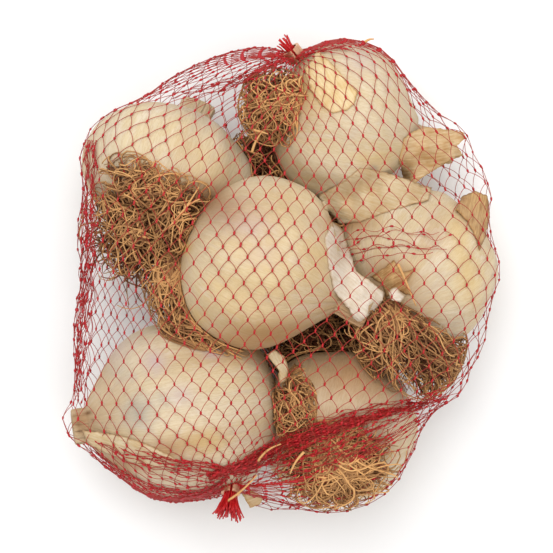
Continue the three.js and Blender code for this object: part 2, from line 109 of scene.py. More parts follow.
# The root mats that hold the net out.
TUFTS = {
    "upper_left": mat((-50, 14, 37), (19, 26, 17), 0, (-45, 20, 44), (-0.3, -0.3, 0.6), 520, 0.8),
    "middle": mat((-31, -10, 43), (13, 25, 13), 28, (-33, 8, 50), (-0.2, -0.9, 0.1), 380, 0.7),
    "upper_right": mat((-1, 59, 38), (13, 14, 14), 0, (4, 59, 36), (-0.9, 0.0, 0.5), 300, 0.8),
    "right": mat((44, -25, 43), (25, 15, 13), -38, (36, -12, 47), (0.6, -0.8, 0.2), 460, 0.35),
    "lower_right": mat((21, -63, 44), (25, 18, 12), 14, (19, -63, 50), (0.0, 0.0, 0.9), 560, 1.0),
    "lower_left": mat((9, -44, 32), (9, 15, 15), 0, (4, -43, 30), (0.9, 0.0, 0.4), 180, 0.9),
}

# Roots that don't hold the net out: looser ones over the mats, and those deep between the bulbs.
# The four gap mats are dark roots set in the shaded gaps between the bulbs; their dark is painted
# shade.
MORE_ROOTS = {
    "over_upper_left": mat((-42, 33, 53), (19, 10, 6), -12, (-46, 27, 52), (0.3, 0.6, 0.3), 170, 0.8,
        loose=1.6),
    "beside_middle": mat((-32, 20, 54), (9, 15, 7), -25, (-38, 18, 52), (0.6, 0.5, 0.3), 110, 0.8,
        loose=1.6),
    "under_middle": mat((-24, -20, 49), (18, 8, 7), -20, (-34, -14, 49), (0.9, -0.4, 0.0), 190, 0.5,
        loose=1.6),
    "over_lower_right": mat((8, -48, 45), (9, 15, 6), 15, (4, -43, 42), (0.5, -0.3, 0.6), 150, 0.9,
        loose=2.5),
    "right_edge": mat((57, -30, 31), (15, 8, 12), 62, (52, -20, 40), (0.3, -0.9, 0.0), 210, 0.3),
    "over_upper_right": mat((1, 57, 46), (15, 13, 6), 10, (8, 60, 46), (-0.7, -0.2, 0.4), 130, 0.6,
        light=0.25, loose=2.5),
    "over_lower_nest": mat((24, -68, 50), (20, 11, 6.5), 16, (20, -64, 50), (0.2, -0.2, 0.8), 260,
        0.9, light=0.2, loose=1.6),
    # Gap mats: dark roots that paint the shade between the bulbs.
    "below_right_gap": mat((24, -20, 14), (15, 10, 13), 0, (24, -18, 18), (0.0, -0.7, -0.4), 200,
        0.8),
    "right_gap": mat((24, 17, 20), (12, 12, 15), 0, (24, 17, 22), (0.0, -0.7, -0.4), 160, 0.8),
    "upper_gap": mat((-7, 38, 22), (12, 16, 17), 0, (-4, 45, 26), (0.0, -0.7, -0.4), 260, 0.8),
    "lower_gap": mat((8, -22, 18), (20, 13, 15), 0, (12, -20, 24), (-0.5, -0.2, -0.4), 260, 0.8),
}

# Stains on the skins as the photograph's frame shows them, with painted shade among them: the dark
# and brown marks also darken the lower sides of bulbs, a neck stub's hollow, the skin beside husks
# and necks, and the gaps by other bulbs, where shade falls. Middle and half sizes in its pixels,
# turn in degrees, and how strong.
STAINS_AND_SHADE = {
    # Dark marks: painted shade in a neck stub's hollow and beside a husk.
    "dark": [(77, 424, 3, 2, 30, 0.9), (88, 413, 4, 2, -10, 0.9), (81, 431, 3, 2.5, 0, 0.8),
        (75, 416, 2, 2.5, 0, 0.8), (93, 420, 2, 1.5, 0, 0.7), (334, 216, 6, 3, 0, 0.5)],
    # Brown marks: brown husk stains, and painted shade on lower sides, beside husks and in gaps.
    "brown": [(82, 420, 12, 15, 0, 0.6), (215, 205, 52, 22, 28, 0.8), (360, 372, 80, 40, 0, 0.75),
        (365, 322, 50, 22, 15, 0.7), (262, 338, 75, 20, -8, 0.8), (150, 455, 60, 14, -14, 0.8),
        (346, 222, 26, 10, 0, 0.8), (300, 90, 14, 40, 0, 0.6), (472, 205, 16, 16, 0, 0.8),
        (372, 171, 5, 5, 0, 0.9), (420, 150, 12, 24, 0, 0.5), (432, 232, 14, 30, 20, 0.3),
        (176, 196, 60, 26, 20, 0.5), (392, 276, 20, 14, 0, 0.8), (330, 430, 60, 40, 0, 0.6)],
    "yellow": [(250, 290, 60, 50, 0, 0.35), (290, 200, 40, 20, 10, 0.3), (183, 247, 8, 7, 0, 0.9),
        (318, 262, 22, 34, 20, 0.4), (375, 160, 26, 20, 0, 0.3), (200, 315, 18, 12, 0, 0.4),
        (322, 90, 26, 30, 0, 0.45), (205, 440, 22, 14, 0, 0.35), (190, 150, 34, 18, 25, 0.25),
        (465, 262, 14, 60, -10, 0.4), (252, 300, 26, 26, 0, 0.3)],
    "grey": [(138, 412, 16, 18, 0, 0.7), (162, 400, 9, 8, 0, 0.4), (374, 168, 4, 3, 0, 0.7),
        (120, 372, 14, 10, 0, 0.3), (218, 214, 16, 20, 0, 0.25)],
    "lilac": [(155, 362, 12, 12, 0, 0.6), (212, 352, 10, 8, 0, 0.5), (182, 395, 12, 10, 0, 0.4),
        (250, 225, 20, 14, 0, 0.3), (360, 60, 16, 16, 0, 0.3), (110, 345, 20, 16, 0, 0.4),
        (262, 255, 18, 12, 0, 0.25)],
}

# Loose and torn skins. Each outline is in the photograph's pixels with a height in millimetres, or
# 0 where it lies on what is under it; ridge holds more such places inside it; turn is its grain.
PAPERS = {
    "middle_neck": dict(kind="white", turn=-42, ridge=[(360, 296, 58), (372, 302, 54)],
        outline=[(325, 238, 0), (333, 222, 0), (342, 228, 0), (350, 250, 0), (356, 272, 56),
        (370, 281, 56), (384, 292, 52), (383, 300, 52), (375, 312, 50), (361, 326, 47),
        (356, 325, 48), (350, 311, 52), (343, 302, 0), (334, 290, 0), (328, 262, 0)]),
    "upper_right_neck": dict(kind="tan", turn=8, ridge=[(425, 148, 38), (448, 145, 35)],
        outline=[(404, 139, 0), (414, 131, 38), (426, 127, 35), (445, 129, 33), (463, 132, 31),
        (466, 138, 31), (457, 145, 34), (463, 156, 29), (450, 161, 29), (436, 169, 30),
        (422, 178, 31), (409, 187, 33), (403, 178, 0), (399, 160, 0)]),
    "upper_right_flap": dict(kind="straw", turn=-55, ridge=[], outline=[(318, 50, 0), (334, 66, 0),
        (346, 80, 0), (358, 92, 0), (354, 104, 0), (347, 110, 0), (332, 113, 0), (320, 104, 0),
        (310, 90, 0), (304, 70, 0)]),
    "under_upper_right": dict(kind="cream", turn=-20, ridge=[(375, 190, 38), (350, 200, 37)],
        outline=[(318, 196, 0), (332, 188, 0), (345, 181, 0), (360, 168, 0), (385, 172, 0),
        (409, 180, 36), (432, 188, 34), (428, 200, 0), (405, 206, 0), (380, 214, 0), (360, 222, 0),
        (340, 224, 34), (326, 210, 34)]),
    "right_husk": dict(kind="brown", turn=75, ridge=[], outline=[(455, 210, 0), (462, 196, 0),
        (475, 191, 0), (487, 195, 0), (490, 212, 0), (486, 236, 0), (480, 250, 0), (474, 232, 0),
        (468, 222, 0), (461, 214, 0)]),
    "right_star": dict(kind="brown", turn=30, ridge=[(393, 279, 0)], outline=[(370, 277, 0),
        (384, 268, 0), (394, 260, 0), (401, 273, 0), (416, 268, 0), (406, 283, 0), (414, 297, 0),
        (398, 291, 0), (386, 297, 0), (382, 284, 0)]),
    "right_scrap": dict(kind="white", turn=10, ridge=[(396, 295, 55)], outline=[(388, 291, 53),
        (396, 287, 54), (405, 296, 53), (401, 302, 54), (391, 300, 55)]),
    "lower_left_husk": dict(kind="cream", turn=-16, ridge=[], outline=[(82, 431, 0), (100, 432, 0),
        (125, 437, 0), (150, 446, 0), (182, 462, 0), (172, 471, 0), (140, 466, 0), (110, 455, 0),
        (88, 445, 0)]),
    "flake": dict(kind="cream", turn=-60, ridge=[], outline=[(267, 354, 50), (275, 350, 50),
        (284, 356, 48), (289, 368, 47), (286, 380, 47), (279, 385, 47), (279, 370, 49),
        (272, 362, 50)]),
    "lower_scrap": dict(kind="tan", turn=20, ridge=[], outline=[(242, 494, 30), (252, 491, 31),
        (263, 496, 30), (260, 504, 28), (250, 508, 27)]),
}

# Folds of bunched net: how many threads run along, and places in the photograph's pixels, each with
# a height in millimetres, or 0 on top of what is under it, and the fold's half width in pixels.
FOLDS = {
    "right_rope": (52, [(231, 472, 46, 3), (255, 458, 52, 8), (280, 445, 0, 11), (310, 434, 0, 11),
        (345, 422, 0, 10), (385, 411, 0, 9), (420, 403, 46, 8), (446, 393, 43, 6)]),
    "right_lower": (11, [(233, 474, 44, 2), (258, 468, 48, 6), (285, 466, 0, 10), (315, 460, 0, 12),
        (350, 446, 0, 12), (392, 428, 0, 10), (425, 410, 44, 6)]),
    "gather": (30, [(208, 478, 45, 4), (222, 471, 48, 6), (234, 468, 50, 7), (247, 464, 51, 6),
        (266, 456, 52, 5)]),
    "left_wide": (7, [(228, 476, 44, 3), (190, 477, 0, 10), (150, 470, 0, 13), (112, 454, 0, 12),
        (84, 436, 0, 8)]),
    "left_rope": (12, [(229, 472, 46, 3), (205, 466, 46, 6), (187, 465, 0, 6), (170, 462, 0, 6),
        (150, 456, 0, 7), (122, 448, 0, 10)]),
    "left_edge": (12, [(229, 476, 43, 3), (212, 489, 36, 5), (190, 494, 30, 6), (150, 488, 24, 6),
        (116, 469, 22, 5), (88, 446, 24, 4)]),
    "top_left": (12, [(294, 58, 36, 3), (268, 66, 40, 5), (240, 80, 40, 6), (215, 88, 40, 6),
        (188, 96, 40, 6), (160, 106, 38, 8)]),
    "top_right": (7, [(296, 57, 36, 3), (310, 52, 40, 4), (330, 48, 38, 5), (355, 45, 36, 6)]),
    "right_wrinkles": (6, [(340, 252, 0, 9), (365, 243, 0, 12), (395, 240, 0, 14), (430, 246, 0, 12),
        (455, 240, 0, 8)]),
    "left_lines": (12, [(92, 140, 0, 8), (90, 200, 0, 9), (92, 250, 38, 9), (90, 300, 36, 9),
        (84, 350, 0, 8), (80, 405, 0, 5)]),
    "left_side": (7, [(85, 196, 36, 3), (85, 250, 34, 4), (82, 300, 32, 5), (78, 350, 32, 5),
        (75, 400, 32, 4)]),
}

# Straws caught in the net: each end's place in the photograph's pixels and height in millimetres.
STRAWS = [
    ((169, 228, 61), (199, 187, 63)), ((184, 208, 62), (200, 199, 63)),
    ((178, 212, 61), (190, 213, 62)), ((258, 461, 54), (281, 444, 57)),
    ((223, 504, 46), (257, 475, 53)), ((398, 264, 60), (416, 306, 54)),
    ((253, 130, 58), (268, 134, 59)), ((304, 452, 61), (290, 474, 60)),
    ((365, 42, 34), (374, 39, 34)), ((252, 152, 55), (262, 132, 56)),
]

# Where the net is bunched and stiff enough to stand off what it holds.
BULGES = [
    dict(at=(-24, 64, 27), half=(30, 10.5, 14), turn=25),
    dict(at=(2, -72, 14), half=(16, 11, 10), turn=0),
    dict(at=(66, 26, 30), half=(8.5, 15, 12), turn=0),
    dict(at=(61.6, -23.8, 32), half=(18, 9, 13), turn=62),
    dict(at=(-63.5, -28.5, 31), half=(6.4, 24, 14), turn=5),
    dict(at=(-51.8, -60.2, 34), half=(19, 9, 12), turn=-35.5),
]

ENDS = {
    "bottom_clip": dict(at=(-15.5, -72.5, 42), tail=(-0.12, -0.9, 0.42), tail_length=8.5, strands=95,
        flare=3.6),
    "top_clip": dict(at=(6.2, 77.3, 33), tail=(-0.6, 0.75, 0.28), tail_length=5.0, strands=14,
        flare=1.6),
}

COLUMNS = 49  # knots round the net
ROWS = 45  # rows of knots from clip to clip
STRAND_LENGTH = 6.1
STRAND_RADIUS = 0.105
STRAND_POINTS = 6
KNOT_REACH = 0.35  # from a knot's middle to where its strands begin
NET_CLEARANCE = 0.5
STRAND_CLEARANCE = 0.35

# The net closes along a gathered rope at each end: places along it, from left to right.
ROPES = {
    "bottom_clip": [(-54, -63, 34), (-41, -69, 43), (-28, -71, 46), (-15.5, -72.5, 42),
        (-4, -61, 48), (8, -53, 53), (22, -47, 55), (36, -42, 51), (50, -39, 46)],
    "top_clip": [(-32, 61, 38), (-21, 66.5, 40), (-10, 70.5, 40), (-1, 73.5, 38), (6.2, 77.3, 33),
        (12, 78, 38), (19, 79, 39), (27, 79.5, 37)],
}


# ---- photograph's view ------------------------------------------------------------------------
PICTURE = 553  # pixels, square
CAMERA_HEIGHT = 900.0
SCALE_HEIGHT = 45.0
PIXEL = 0.343  # millimetres to a pixel, at the scale height


def offset_of_bag():
    """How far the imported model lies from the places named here, in x and y."""
    low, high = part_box("bottom_clip")
    middle = (low + high) / 2 / MM
    x, y, _ = ENDS["bottom_clip"]["at"]
    return np.array([middle.x - x, middle.y - y, 0.0])


OFFSET = offset_of_bag()


def add_camera():
    """Straight above the bag, with its top clip at the top of the picture."""
    data = bpy.data.cameras.new("camera")
    width = PICTURE * PIXEL
    data.lens = data.sensor_width * (CAMERA_HEIGHT - SCALE_HEIGHT) / width
    data.clip_start, data.clip_end = 0.05, 20
    camera = bpy.data.objects.new("camera", data)
    camera.location = Vector((OFFSET[0], OFFSET[1], CAMERA_HEIGHT)) * MM
    bpy.context.collection.objects.link(camera)
    bpy.context.scene.camera = camera


def pixel_of(points):
    """Where points, in millimetres, appear in the photograph's frame."""
    scale = PIXEL * (CAMERA_HEIGHT - points[:, 2]) / (CAMERA_HEIGHT - SCALE_HEIGHT)
    across = PICTURE / 2 + points[:, 0] / scale
    down = PICTURE / 2 - points[:, 1] / scale
    return np.stack([across, down], axis=1)


def place_of(pixels, heights):
    """The place in millimetres that the photograph's frame shows at a pixel, at a height."""
    scale = PIXEL * (CAMERA_HEIGHT - heights) / (CAMERA_HEIGHT - SCALE_HEIGHT)
    across = (pixels[:, 0] - PICTURE / 2) * scale
    return np.stack([across, (PICTURE / 2 - pixels[:, 1]) * scale, heights], axis=1)


# ---- shader expressions -----------------------------------------------------------------------
def arithmetic(operation, swapped=False):
    """A method that adds a Math node for a value and another value or a number."""
    def method(self, other):
        pair = (other, self) if swapped else (self, other)
        return self.math(operation, *pair)
    return method


class Value:
    """A number that changes over a surface. Arithmetic on it adds Math nodes."""

    def __init__(self, shade, socket):
        self.shade = shade
        self.socket = socket

    def math(self, operation, first, second=None):
        inputs = {i: v for i, v in enumerate((first, second)) if v is not None}
        node = self.shade.node("ShaderNodeMath", dict(operation=operation), inputs)
        return Value(self.shade, node.outputs[0])

    __add__, __radd__ = arithmetic("ADD"), arithmetic("ADD", swapped=True)
    __sub__, __rsub__ = arithmetic("SUBTRACT"), arithmetic("SUBTRACT", swapped=True)
    __mul__, __rmul__ = arithmetic("MULTIPLY"), arithmetic("MULTIPLY", swapped=True)

    def __abs__(self):
        return self.math("ABSOLUTE", self)

    def rise(self, low, high):
        """0 below low, 1 above high and smooth between; high may be under low."""
        settings = dict(interpolation_type="SMOOTHSTEP")
        sockets = {"Value": self, "From Min": low, "From Max": high}
        node = self.shade.node("ShaderNodeMapRange", settings, sockets)
        return Value(self.shade, node.outputs[0])


class Shade:
    """A material with one Principled shader, and ways to add what feeds it."""

    def __init__(self, name, **constants):
        self.material = bpy.data.materials.new(name)
        self.material.use_nodes = True
        self.tree = self.material.node_tree
        self.tree.nodes.clear()
        self.shader = self.node("ShaderNodeBsdfPrincipled", {}, constants)
        self.node("ShaderNodeOutputMaterial", {}, {"Surface": self.shader.outputs[0]})

    def node(self, kind, settings, sockets):
        """A node of a kind, with its settings and then its sockets, given values or links."""
        made = self.tree.nodes.new(kind)
        for key, value in settings.items():
            if key == "stops":
                self._set_stops(made.color_ramp, value)
            else:
                setattr(made, key, value)
        for key, value in sockets.items():
            target = made.inputs[key]
            source = value.socket if isinstance(value, Value) else value
            if isinstance(source, bpy.types.NodeSocket):
                self.tree.links.new(source, target)
            else:
                target.default_value = source
        return made

    @staticmethod
    def _set_stops(ramp, stops):
        while len(ramp.elements) < len(stops):
            ramp.elements.new(0.5)
        for element, (place, colour) in zip(ramp.elements, stops):
            element.position = place
            element.color = colour

    def feed(self, **sockets):
        """Links what changes over the surface to the shader."""
        for key, value in sockets.items():
            source = value.socket if isinstance(value, Value) else value
            self.tree.links.new(source, self.shader.inputs[key.replace("_", " ")])

    def places(self):
        return self.node("ShaderNodeTexCoord", {}, {}).outputs["Object"]

    def attribute(self, name):
        return self.node("ShaderNodeAttribute", dict(attribute_name=name), {})

    def stretch(self, vector, scale, move=(0, 0, 0)):
        sockets = {"Vector": vector, "Scale": scale, "Location": move}
        return self.node("ShaderNodeMapping", {}, sockets).outputs[0]

    def noise(self, vector, scale, detail=3.0, roughness=0.55, distortion=0.0):
        sockets = {"Vector": vector, "Scale": scale, "Detail": detail, "Roughness": roughness,
                   "Distortion": distortion}
        return Value(self, self.node("ShaderNodeTexNoise", {}, sockets).outputs[0])

    def mix(self, factor, first, second):
        """One colour over another, by a factor from 0 to 1."""
        settings = dict(data_type="RGBA", clamp_factor=True)
        return self.node("ShaderNodeMix", settings, {0: factor, 6: first, 7: second}).outputs[2]

    def darken(self, colour, factor):
        """A colour times a number."""
        settings = dict(data_type="RGBA", blend_type="MULTIPLY")
        grey = self.node("ShaderNodeCombineColor", {}, {0: factor, 1: factor, 2: factor}).outputs[0]
        return self.node("ShaderNodeMix", settings, {0: 1.0, 6: colour, 7: grey}).outputs[2]

    def bump(self, height, distance, strength=1.0):
        sockets = {"Height": height, "Distance": distance, "Strength": strength}
        return self.node("ShaderNodeBump", {}, sockets).outputs[0]


def srgb(red, green, blue):
    """A colour as a picture gives it, 0 to 255, in the shader's linear numbers."""
    def linear(level):
        level /= 255
        return level / 12.92 if level <= 0.04045 else ((level + 0.055) / 1.055) ** 2.4
    return (linear(red), linear(green), linear(blue), 1.0)


# ---- materials --------------------------------------------------------------------------------
CREAM = srgb(212, 196, 165)
PALE = srgb(222, 211, 192)
STRAW = srgb(208, 184, 132)
ROSE_GREY = srgb(196, 180, 170)
TAN = srgb(184, 150, 108)
# Pale and dark root tones; the mix between them carries each root's own tone, and also painted shade
# deep in the mats and painted light on the mats on top.
ROOT_PALE_AND_LIT = srgb(220, 168, 108)
ROOT_DARK_AND_SHADED = srgb(98, 52, 30)
THREAD_RED = srgb(166, 36, 28)
KNOT_RED = srgb(176, 16, 26)
TAIL_RED = srgb(196, 24, 28)
# Colours of the stains; the dark and brown ones also serve as painted shade.
STAIN_AND_SHADE_COLOURS = {"dark": srgb(88, 58, 34), "brown": srgb(160, 112, 66), "yellow": srgb(206, 166, 78),
                 "grey": srgb(158, 150, 138), "lilac": srgb(190, 170, 178)}
# Each kind of loose skin: its light and dark tones and its rim's.
PAPER_TONES = {
    "white": (srgb(224, 212, 196), srgb(206, 186, 158), srgb(190, 158, 120)),
    "cream": (srgb(214, 196, 162), srgb(196, 166, 120), srgb(170, 128, 84)),
    "straw": (srgb(226, 204, 160), srgb(208, 174, 116), srgb(196, 150, 92)),
    "tan": (srgb(216, 190, 148), srgb(184, 142, 90), srgb(198, 154, 94)),
    "brown": (srgb(204, 168, 116), srgb(156, 110, 62), srgb(150, 104, 60)),
}


def garlic_skin(name, seed, yellowness=0.4, greyness=0.3):
    """Papery cream skin: veins from base to neck, straw and grey patches, tan at both ends, and the
    stains with painted shade that each point carries.
    """
    shade = Shade(name, Roughness=0.55, **{"Subsurface Weight": 0.0, "Specular IOR Level": 0.35})
    around = shade.attribute("around")
    vector = around.outputs["Vector"]
    along = Value(shade, shade.node("ShaderNodeSeparateXYZ", {}, {0: vector}).outputs[2])
    shifted = shade.stretch(vector, (1, 1, 0.16), (seed, seed * 2, seed * 3))
    veins = shade.noise(shifted, 26.0, 4.0, 0.7)
    fine = shade.noise(shifted, 70.0, 2.0)
    broad = shade.noise(shade.stretch(vector, (1, 1, 0.45), (seed * 5, 0, seed)), 2.4, 3.0)
    patch = shade.noise(shade.stretch(vector, (1, 1, 0.6), (0, seed * 7, seed)), 3.6, 4.0, 0.6, 0.8)
    colour = shade.mix(broad.rise(0.42, 0.66) * yellowness, CREAM, STRAW)
    colour = shade.mix(patch.rise(0.52, 0.66) * greyness, colour, ROSE_GREY)
    colour = shade.mix(patch.rise(0.46, 0.32) * 0.5, colour, PALE)
    colour = shade.mix(abs(veins - 0.5).rise(0.06, 0.0) * 0.35, colour, TAN)
    colour = shade.mix(fine.rise(0.55, 0.8) * 0.35, colour, PALE)
    ends = along.rise(-0.55, -0.86) * 0.6 + along.rise(0.75, 1.1) * (0.25 + broad * 0.4)
    colour = shade.mix(ends, colour, TAN)
    # Stains, with painted shade in the dark and brown kinds: darker lower sides, hollows and gaps.
    for kind, tone in STAIN_AND_SHADE_COLOURS.items():
        stain_and_shade = Value(shade, shade.attribute(kind).outputs["Fac"])
        colour = shade.mix(stain_and_shade * (0.6 + fine * 0.5 + veins * 0.3), colour, tone)
    shade.feed(Base_Color=colour)
    relief = veins * 0.6 + fine * 0.25 + broad * 0.6
    shade.feed(Normal=shade.bump(relief, 0.0009, 0.6), Roughness=0.48 + veins * 0.2)
    return shade.material


def dry_paper(name, light, dark, rim):
    """A loose dry skin: streaks along its grain, clouds across it and a darker torn rim."""
    shade = Shade(name, Roughness=0.6, **{"Specular IOR Level": 0.3})
    grain = shade.attribute("grain").outputs["Vector"]
    edge = Value(shade, shade.attribute("edge").outputs["Fac"])
    streak = shade.noise(shade.stretch(grain, (0.18, 1.6, 1)), 1.0, 4.0, 0.65)
    cloud = shade.noise(grain, 0.16, 3.0)
    colour = shade.mix(streak.rise(0.35, 0.66) * 0.6 + cloud.rise(0.42, 0.62) * 0.4, light, dark)
    colour = shade.mix(edge.rise(0.35, 1.0) * 0.7, colour, rim)
    shade.feed(Base_Color=colour, Normal=shade.bump(streak + cloud, 0.0006, 0.7))
    return shade.material


def dried_root():
    """Wiry dry roots, no two of one tone and darker where they leave the bulb."""
    shade = Shade("dried_root", Roughness=0.7, **{"Specular IOR Level": 0.25})
    tone = Value(shade, shade.attribute("tone").outputs["Fac"])
    along = Value(shade, shade.attribute("along").outputs["Fac"])
    grain = shade.noise(shade.places(), 900.0, 2.0)
    # The tone holds each root's own tone with painted shade deep in its mat and painted light on top
    # mats.
    light = tone * 0.75 + grain * 0.3 + along.rise(0.0, 0.5) * 0.25 - 0.15
    colour = shade.mix(light, ROOT_DARK_AND_SHADED, ROOT_PALE_AND_LIT)
    shade.feed(Base_Color=colour, Normal=shade.bump(grain, 0.0004, 0.5))
    return shade.material


def net_thread(name, shade_of_red):
    """Knitted red plastic thread: fine ribs across it and a soft gloss."""
    shade = Shade(name, Roughness=0.42, **{"Specular IOR Level": 0.4})
    grain = shade.noise(shade.places(), 1600.0, 2.0)
    broad = shade.noise(shade.places(), 45.0, 2.0)
    colour = shade.darken(shade_of_red, 0.8 + broad * 0.4)
    shade.feed(Base_Color=colour, Normal=shade.bump(grain, 0.0002, 0.6))
    return shade.material


def clip_metal():
    """Copper toned clip metal, drawn lengthwise and a little dulled."""
    shade = Shade("clip_metal", Metallic=0.85, Roughness=0.38)
    scratches = shade.noise(shade.stretch(shade.places(), (900, 900, 120)), 1.0, 3.0)
    colour = shade.mix(scratches.rise(0.3, 0.75), srgb(196, 140, 104), srgb(232, 190, 156))
    shade.feed(Base_Color=colour, Roughness=0.3 + scratches * 0.25)
    return shade.material


# ---- meshes from arrays -----------------------------------------------------------------------
def give(mesh, name, values):
    """Keeps a number, or three, at each point of a mesh for its material to read."""
    kind, field = ("FLOAT", "value") if values.ndim == 1 else ("FLOAT_VECTOR", "vector")
    layer = mesh.attributes.new(name, kind, "POINT")
    layer.data.foreach_set(field, values.astype(np.float32).ravel())


def new_mesh(name, points, loops, sizes, material, slot, attributes=None):
    """A piece from points in millimetres and polygons given as corner indices and sizes."""
    mesh = bpy.data.meshes.new(name)
    mesh.vertices.add(len(points))
    mesh.vertices.foreach_set("co", ((points + OFFSET) * MM).astype(np.float32).ravel())
    mesh.loops.add(len(loops))
    mesh.loops.foreach_set("vertex_index", loops.astype(np.int32))
    mesh.polygons.add(len(sizes))
    starts = np.concatenate([[0], np.cumsum(sizes)[:-1]])
    mesh.polygons.foreach_set("loop_start", starts.astype(np.int32))
    mesh.polygons.foreach_set("use_smooth", np.ones(len(sizes), bool))
    mesh.update(calc_edges=True)
    mesh.validate()
    for key, values in (attributes or {}).items():
        give(mesh, key, values)
    piece = bpy.data.objects.new(name, mesh)
    bpy.context.collection.objects.link(piece)
    return dress(piece, material)


def dress(piece, material):
    """Gives a piece its material, and lets it ride with the bag and stand for its solid."""
    piece.data.materials.clear()
    piece.data.materials.append(material)
    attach(piece, BODY)
    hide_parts(BAG)
    return piece


def unit(vectors):
    return vectors / np.maximum(np.linalg.norm(vectors, axis=-1, keepdims=True), 1e-9)


def sweep(paths, radii, sides=4):
    """Tubes along paths (count, steps, 3). Gives points, corner indices and polygon sizes."""
    count, steps, _ = paths.shape
    tangents = unit(np.gradient(paths, axis=1))
    helper = np.where(np.abs(tangents[:, :1, 2:]) < 0.8, [0.0, 0.0, 1.0], [1.0, 0.0, 0.0])
    normal = unit(np.cross(helper[:, 0], tangents[:, 0]))
    rings = []
    turns = (np.arange(sides) * 2 * np.pi / sides)[None, :, None]
    for step in range(steps):
        tangent = tangents[:, step]
        normal = unit(normal - tangent * np.sum(normal * tangent, axis=1, keepdims=True))
        side = np.cross(tangent, normal)
        ring = normal[:, None] * np.cos(turns) + side[:, None] * np.sin(turns)
        rings.append(paths[:, step, None] + ring * radii[:, step, None, None])
    points = np.stack(rings, axis=1).reshape(-1, 3)
    first = np.arange(count)[:, None, None] * steps * sides
    rows = first + np.arange(steps - 1)[None, :, None] * sides
    corner = np.arange(sides)[None, None, :]
    here, beside = rows + corner, rows + (corner + 1) % sides
    quads = np.stack([here, beside, beside + sides, here + sides], axis=-1).reshape(-1)
    start_caps = (first[:, 0] + np.arange(sides)[None, ::-1]).reshape(-1)
    end_caps = (first[:, 0] + (steps - 1) * sides + np.arange(sides)[None, :]).reshape(-1)
    loops = np.concatenate([quads, start_caps, end_caps])
    sizes = np.concatenate([np.full(len(quads) // 4, 4), np.full(2 * count, sides)])
    return points, loops, sizes


# ---- the bulbs' form --------------------------------------------------------------------------
def profile(share, fullness, neck_share):
    """A bulb's radius, as a share of its full one, from -1 at the base to 1 at the neck's foot."""
    share = np.clip(share, -1, 1)
    low = np.sqrt(np.clip(1 - np.abs(np.minimum(share, 0)) ** BASE_ROUNDNESS, 0, 1))
    swell = np.cos(np.pi / 2 * np.maximum(share, 0) ** fullness)
    high = neck_share + (1 - neck_share) * np.clip(swell, 0, 1) ** SHOULDER_HOLLOW
    return np.where(share < 0, low, high)


class Bulb:
    """One bulb: its place and turn, and its surface and distance in millimetres."""

    def __init__(self, name, index):
        self.name = name
        self.index = index
        self.facts = {**USUAL, **BULBS[name]}
        self.radius = BULB_RADIUS * self.facts["size"]
        self.top = self.facts["rise"] * self.radius
        self.end = self.top + self.facts["neck_length"]
        turn = Vector((0, 1, 0)).rotation_difference(Vector(self.facts["neck"]).normalized())
        self.turn = np.array(turn.to_matrix())
        self.section = self.outline()
        x, y, z = self.facts["at"]
        self.centre = np.zeros(3)
        if z is None:
            angles = np.linspace(-np.pi, np.pi, 145)
            shares = np.linspace(0, 1, 120)
            grid = self.surface(*np.meshgrid(angles, shares))
            z = -FLAT_DEPTH - grid[..., 2].min()
        self.centre = np.array([x, y, z], float)

    def outline(self):
        """Half the section as radius and height, from the root plate to the neck's cut end."""
        turns = np.linspace(ROOT_PLATE_RIM, 1, SECTION_RINGS)
        shares = np.sin(np.pi / 2 * turns)
        depth, rise, neck = self.facts["depth"], self.facts["rise"], self.facts["neck_radius"]
        heights = shares * self.radius * np.where(shares < 0, depth, rise)
        radii = self.radius * profile(shares, self.facts["fullness"], neck / self.radius)
        radii = np.concatenate([[0], radii, [neck]])
        heights = np.concatenate([[-ROOT_PLATE_DEPTH * depth * self.radius], heights, [self.end]])
        return radii, heights

    def relief(self, angle, height):
        fullness = np.clip(1 - (height / self.top) ** 2, 0, 1)
        return CLOVE_RELIEF * fullness * np.cos(self.facts["cloves"] * angle)

    def bend(self, angle, radius, height):
        """A point of the round form, with the cloves' uneven widths and the flattened neck."""
        turned = angle + CLOVE_UNEVENNESS * np.sin(2 * angle + self.facts["cloves"])
        ramp = np.clip((height - 0.8 * self.top) / (self.end - 0.8 * self.top), 0, 1)
        flatten = NECK_FLATTENING * ramp * ramp * (3 - 2 * ramp)
        x = radius * np.sin(turned) * (1 + flatten)
        z = radius * np.cos(turned) * (1 - flatten)
        return np.stack([x, height + 0 * x, z], axis=-1)

    def surface(self, angle, share, lift=0.0):
        """Points of the skin; share runs from 0 at the root plate to 1 at the neck's cut end."""
        radii, heights = self.section
        steps = np.linspace(0, 1, len(radii))
        radius = np.interp(share, steps, radii)
        height = np.interp(share, steps, heights)
        out = radius * (1 + self.relief(angle, height) / self.radius) + lift
        upright = self.bend(angle, out, height)
        return upright @ self.turn.T + self.centre

    def distance(self, points):
        """How far points are outside the bulb, less than 0 inside."""
        local = (points - self.centre) @ self.turn
        radius = np.hypot(local[..., 0], local[..., 2])
        height = local[..., 1]
        turned = np.arctan2(local[..., 0], local[..., 2])
        angle = turned
        for _ in range(3):
            angle = turned - CLOVE_UNEVENNESS * np.sin(2 * angle + self.facts["cloves"])
        radius = np.maximum(radius - self.relief(angle, height), 0)
        radii, heights = self.section
        nearest = np.full(radius.shape, np.inf)
        for i in range(len(radii) - 1):
            dx, dy = radii[i + 1] - radii[i], heights[i + 1] - heights[i]
            share = ((radius - radii[i]) * dx + (height - heights[i]) * dy) / (dx * dx + dy * dy)
            share = np.clip(share, 0, 1)
            gap = np.hypot(radius - radii[i] - share * dx, height - heights[i] - share * dy)
            nearest = np.minimum(nearest, gap)
        inside = radius < np.interp(height, heights[1:], radii[1:])
        inside &= (height > heights[1]) & (height < self.end)
        return np.where(inside, -nearest, nearest)


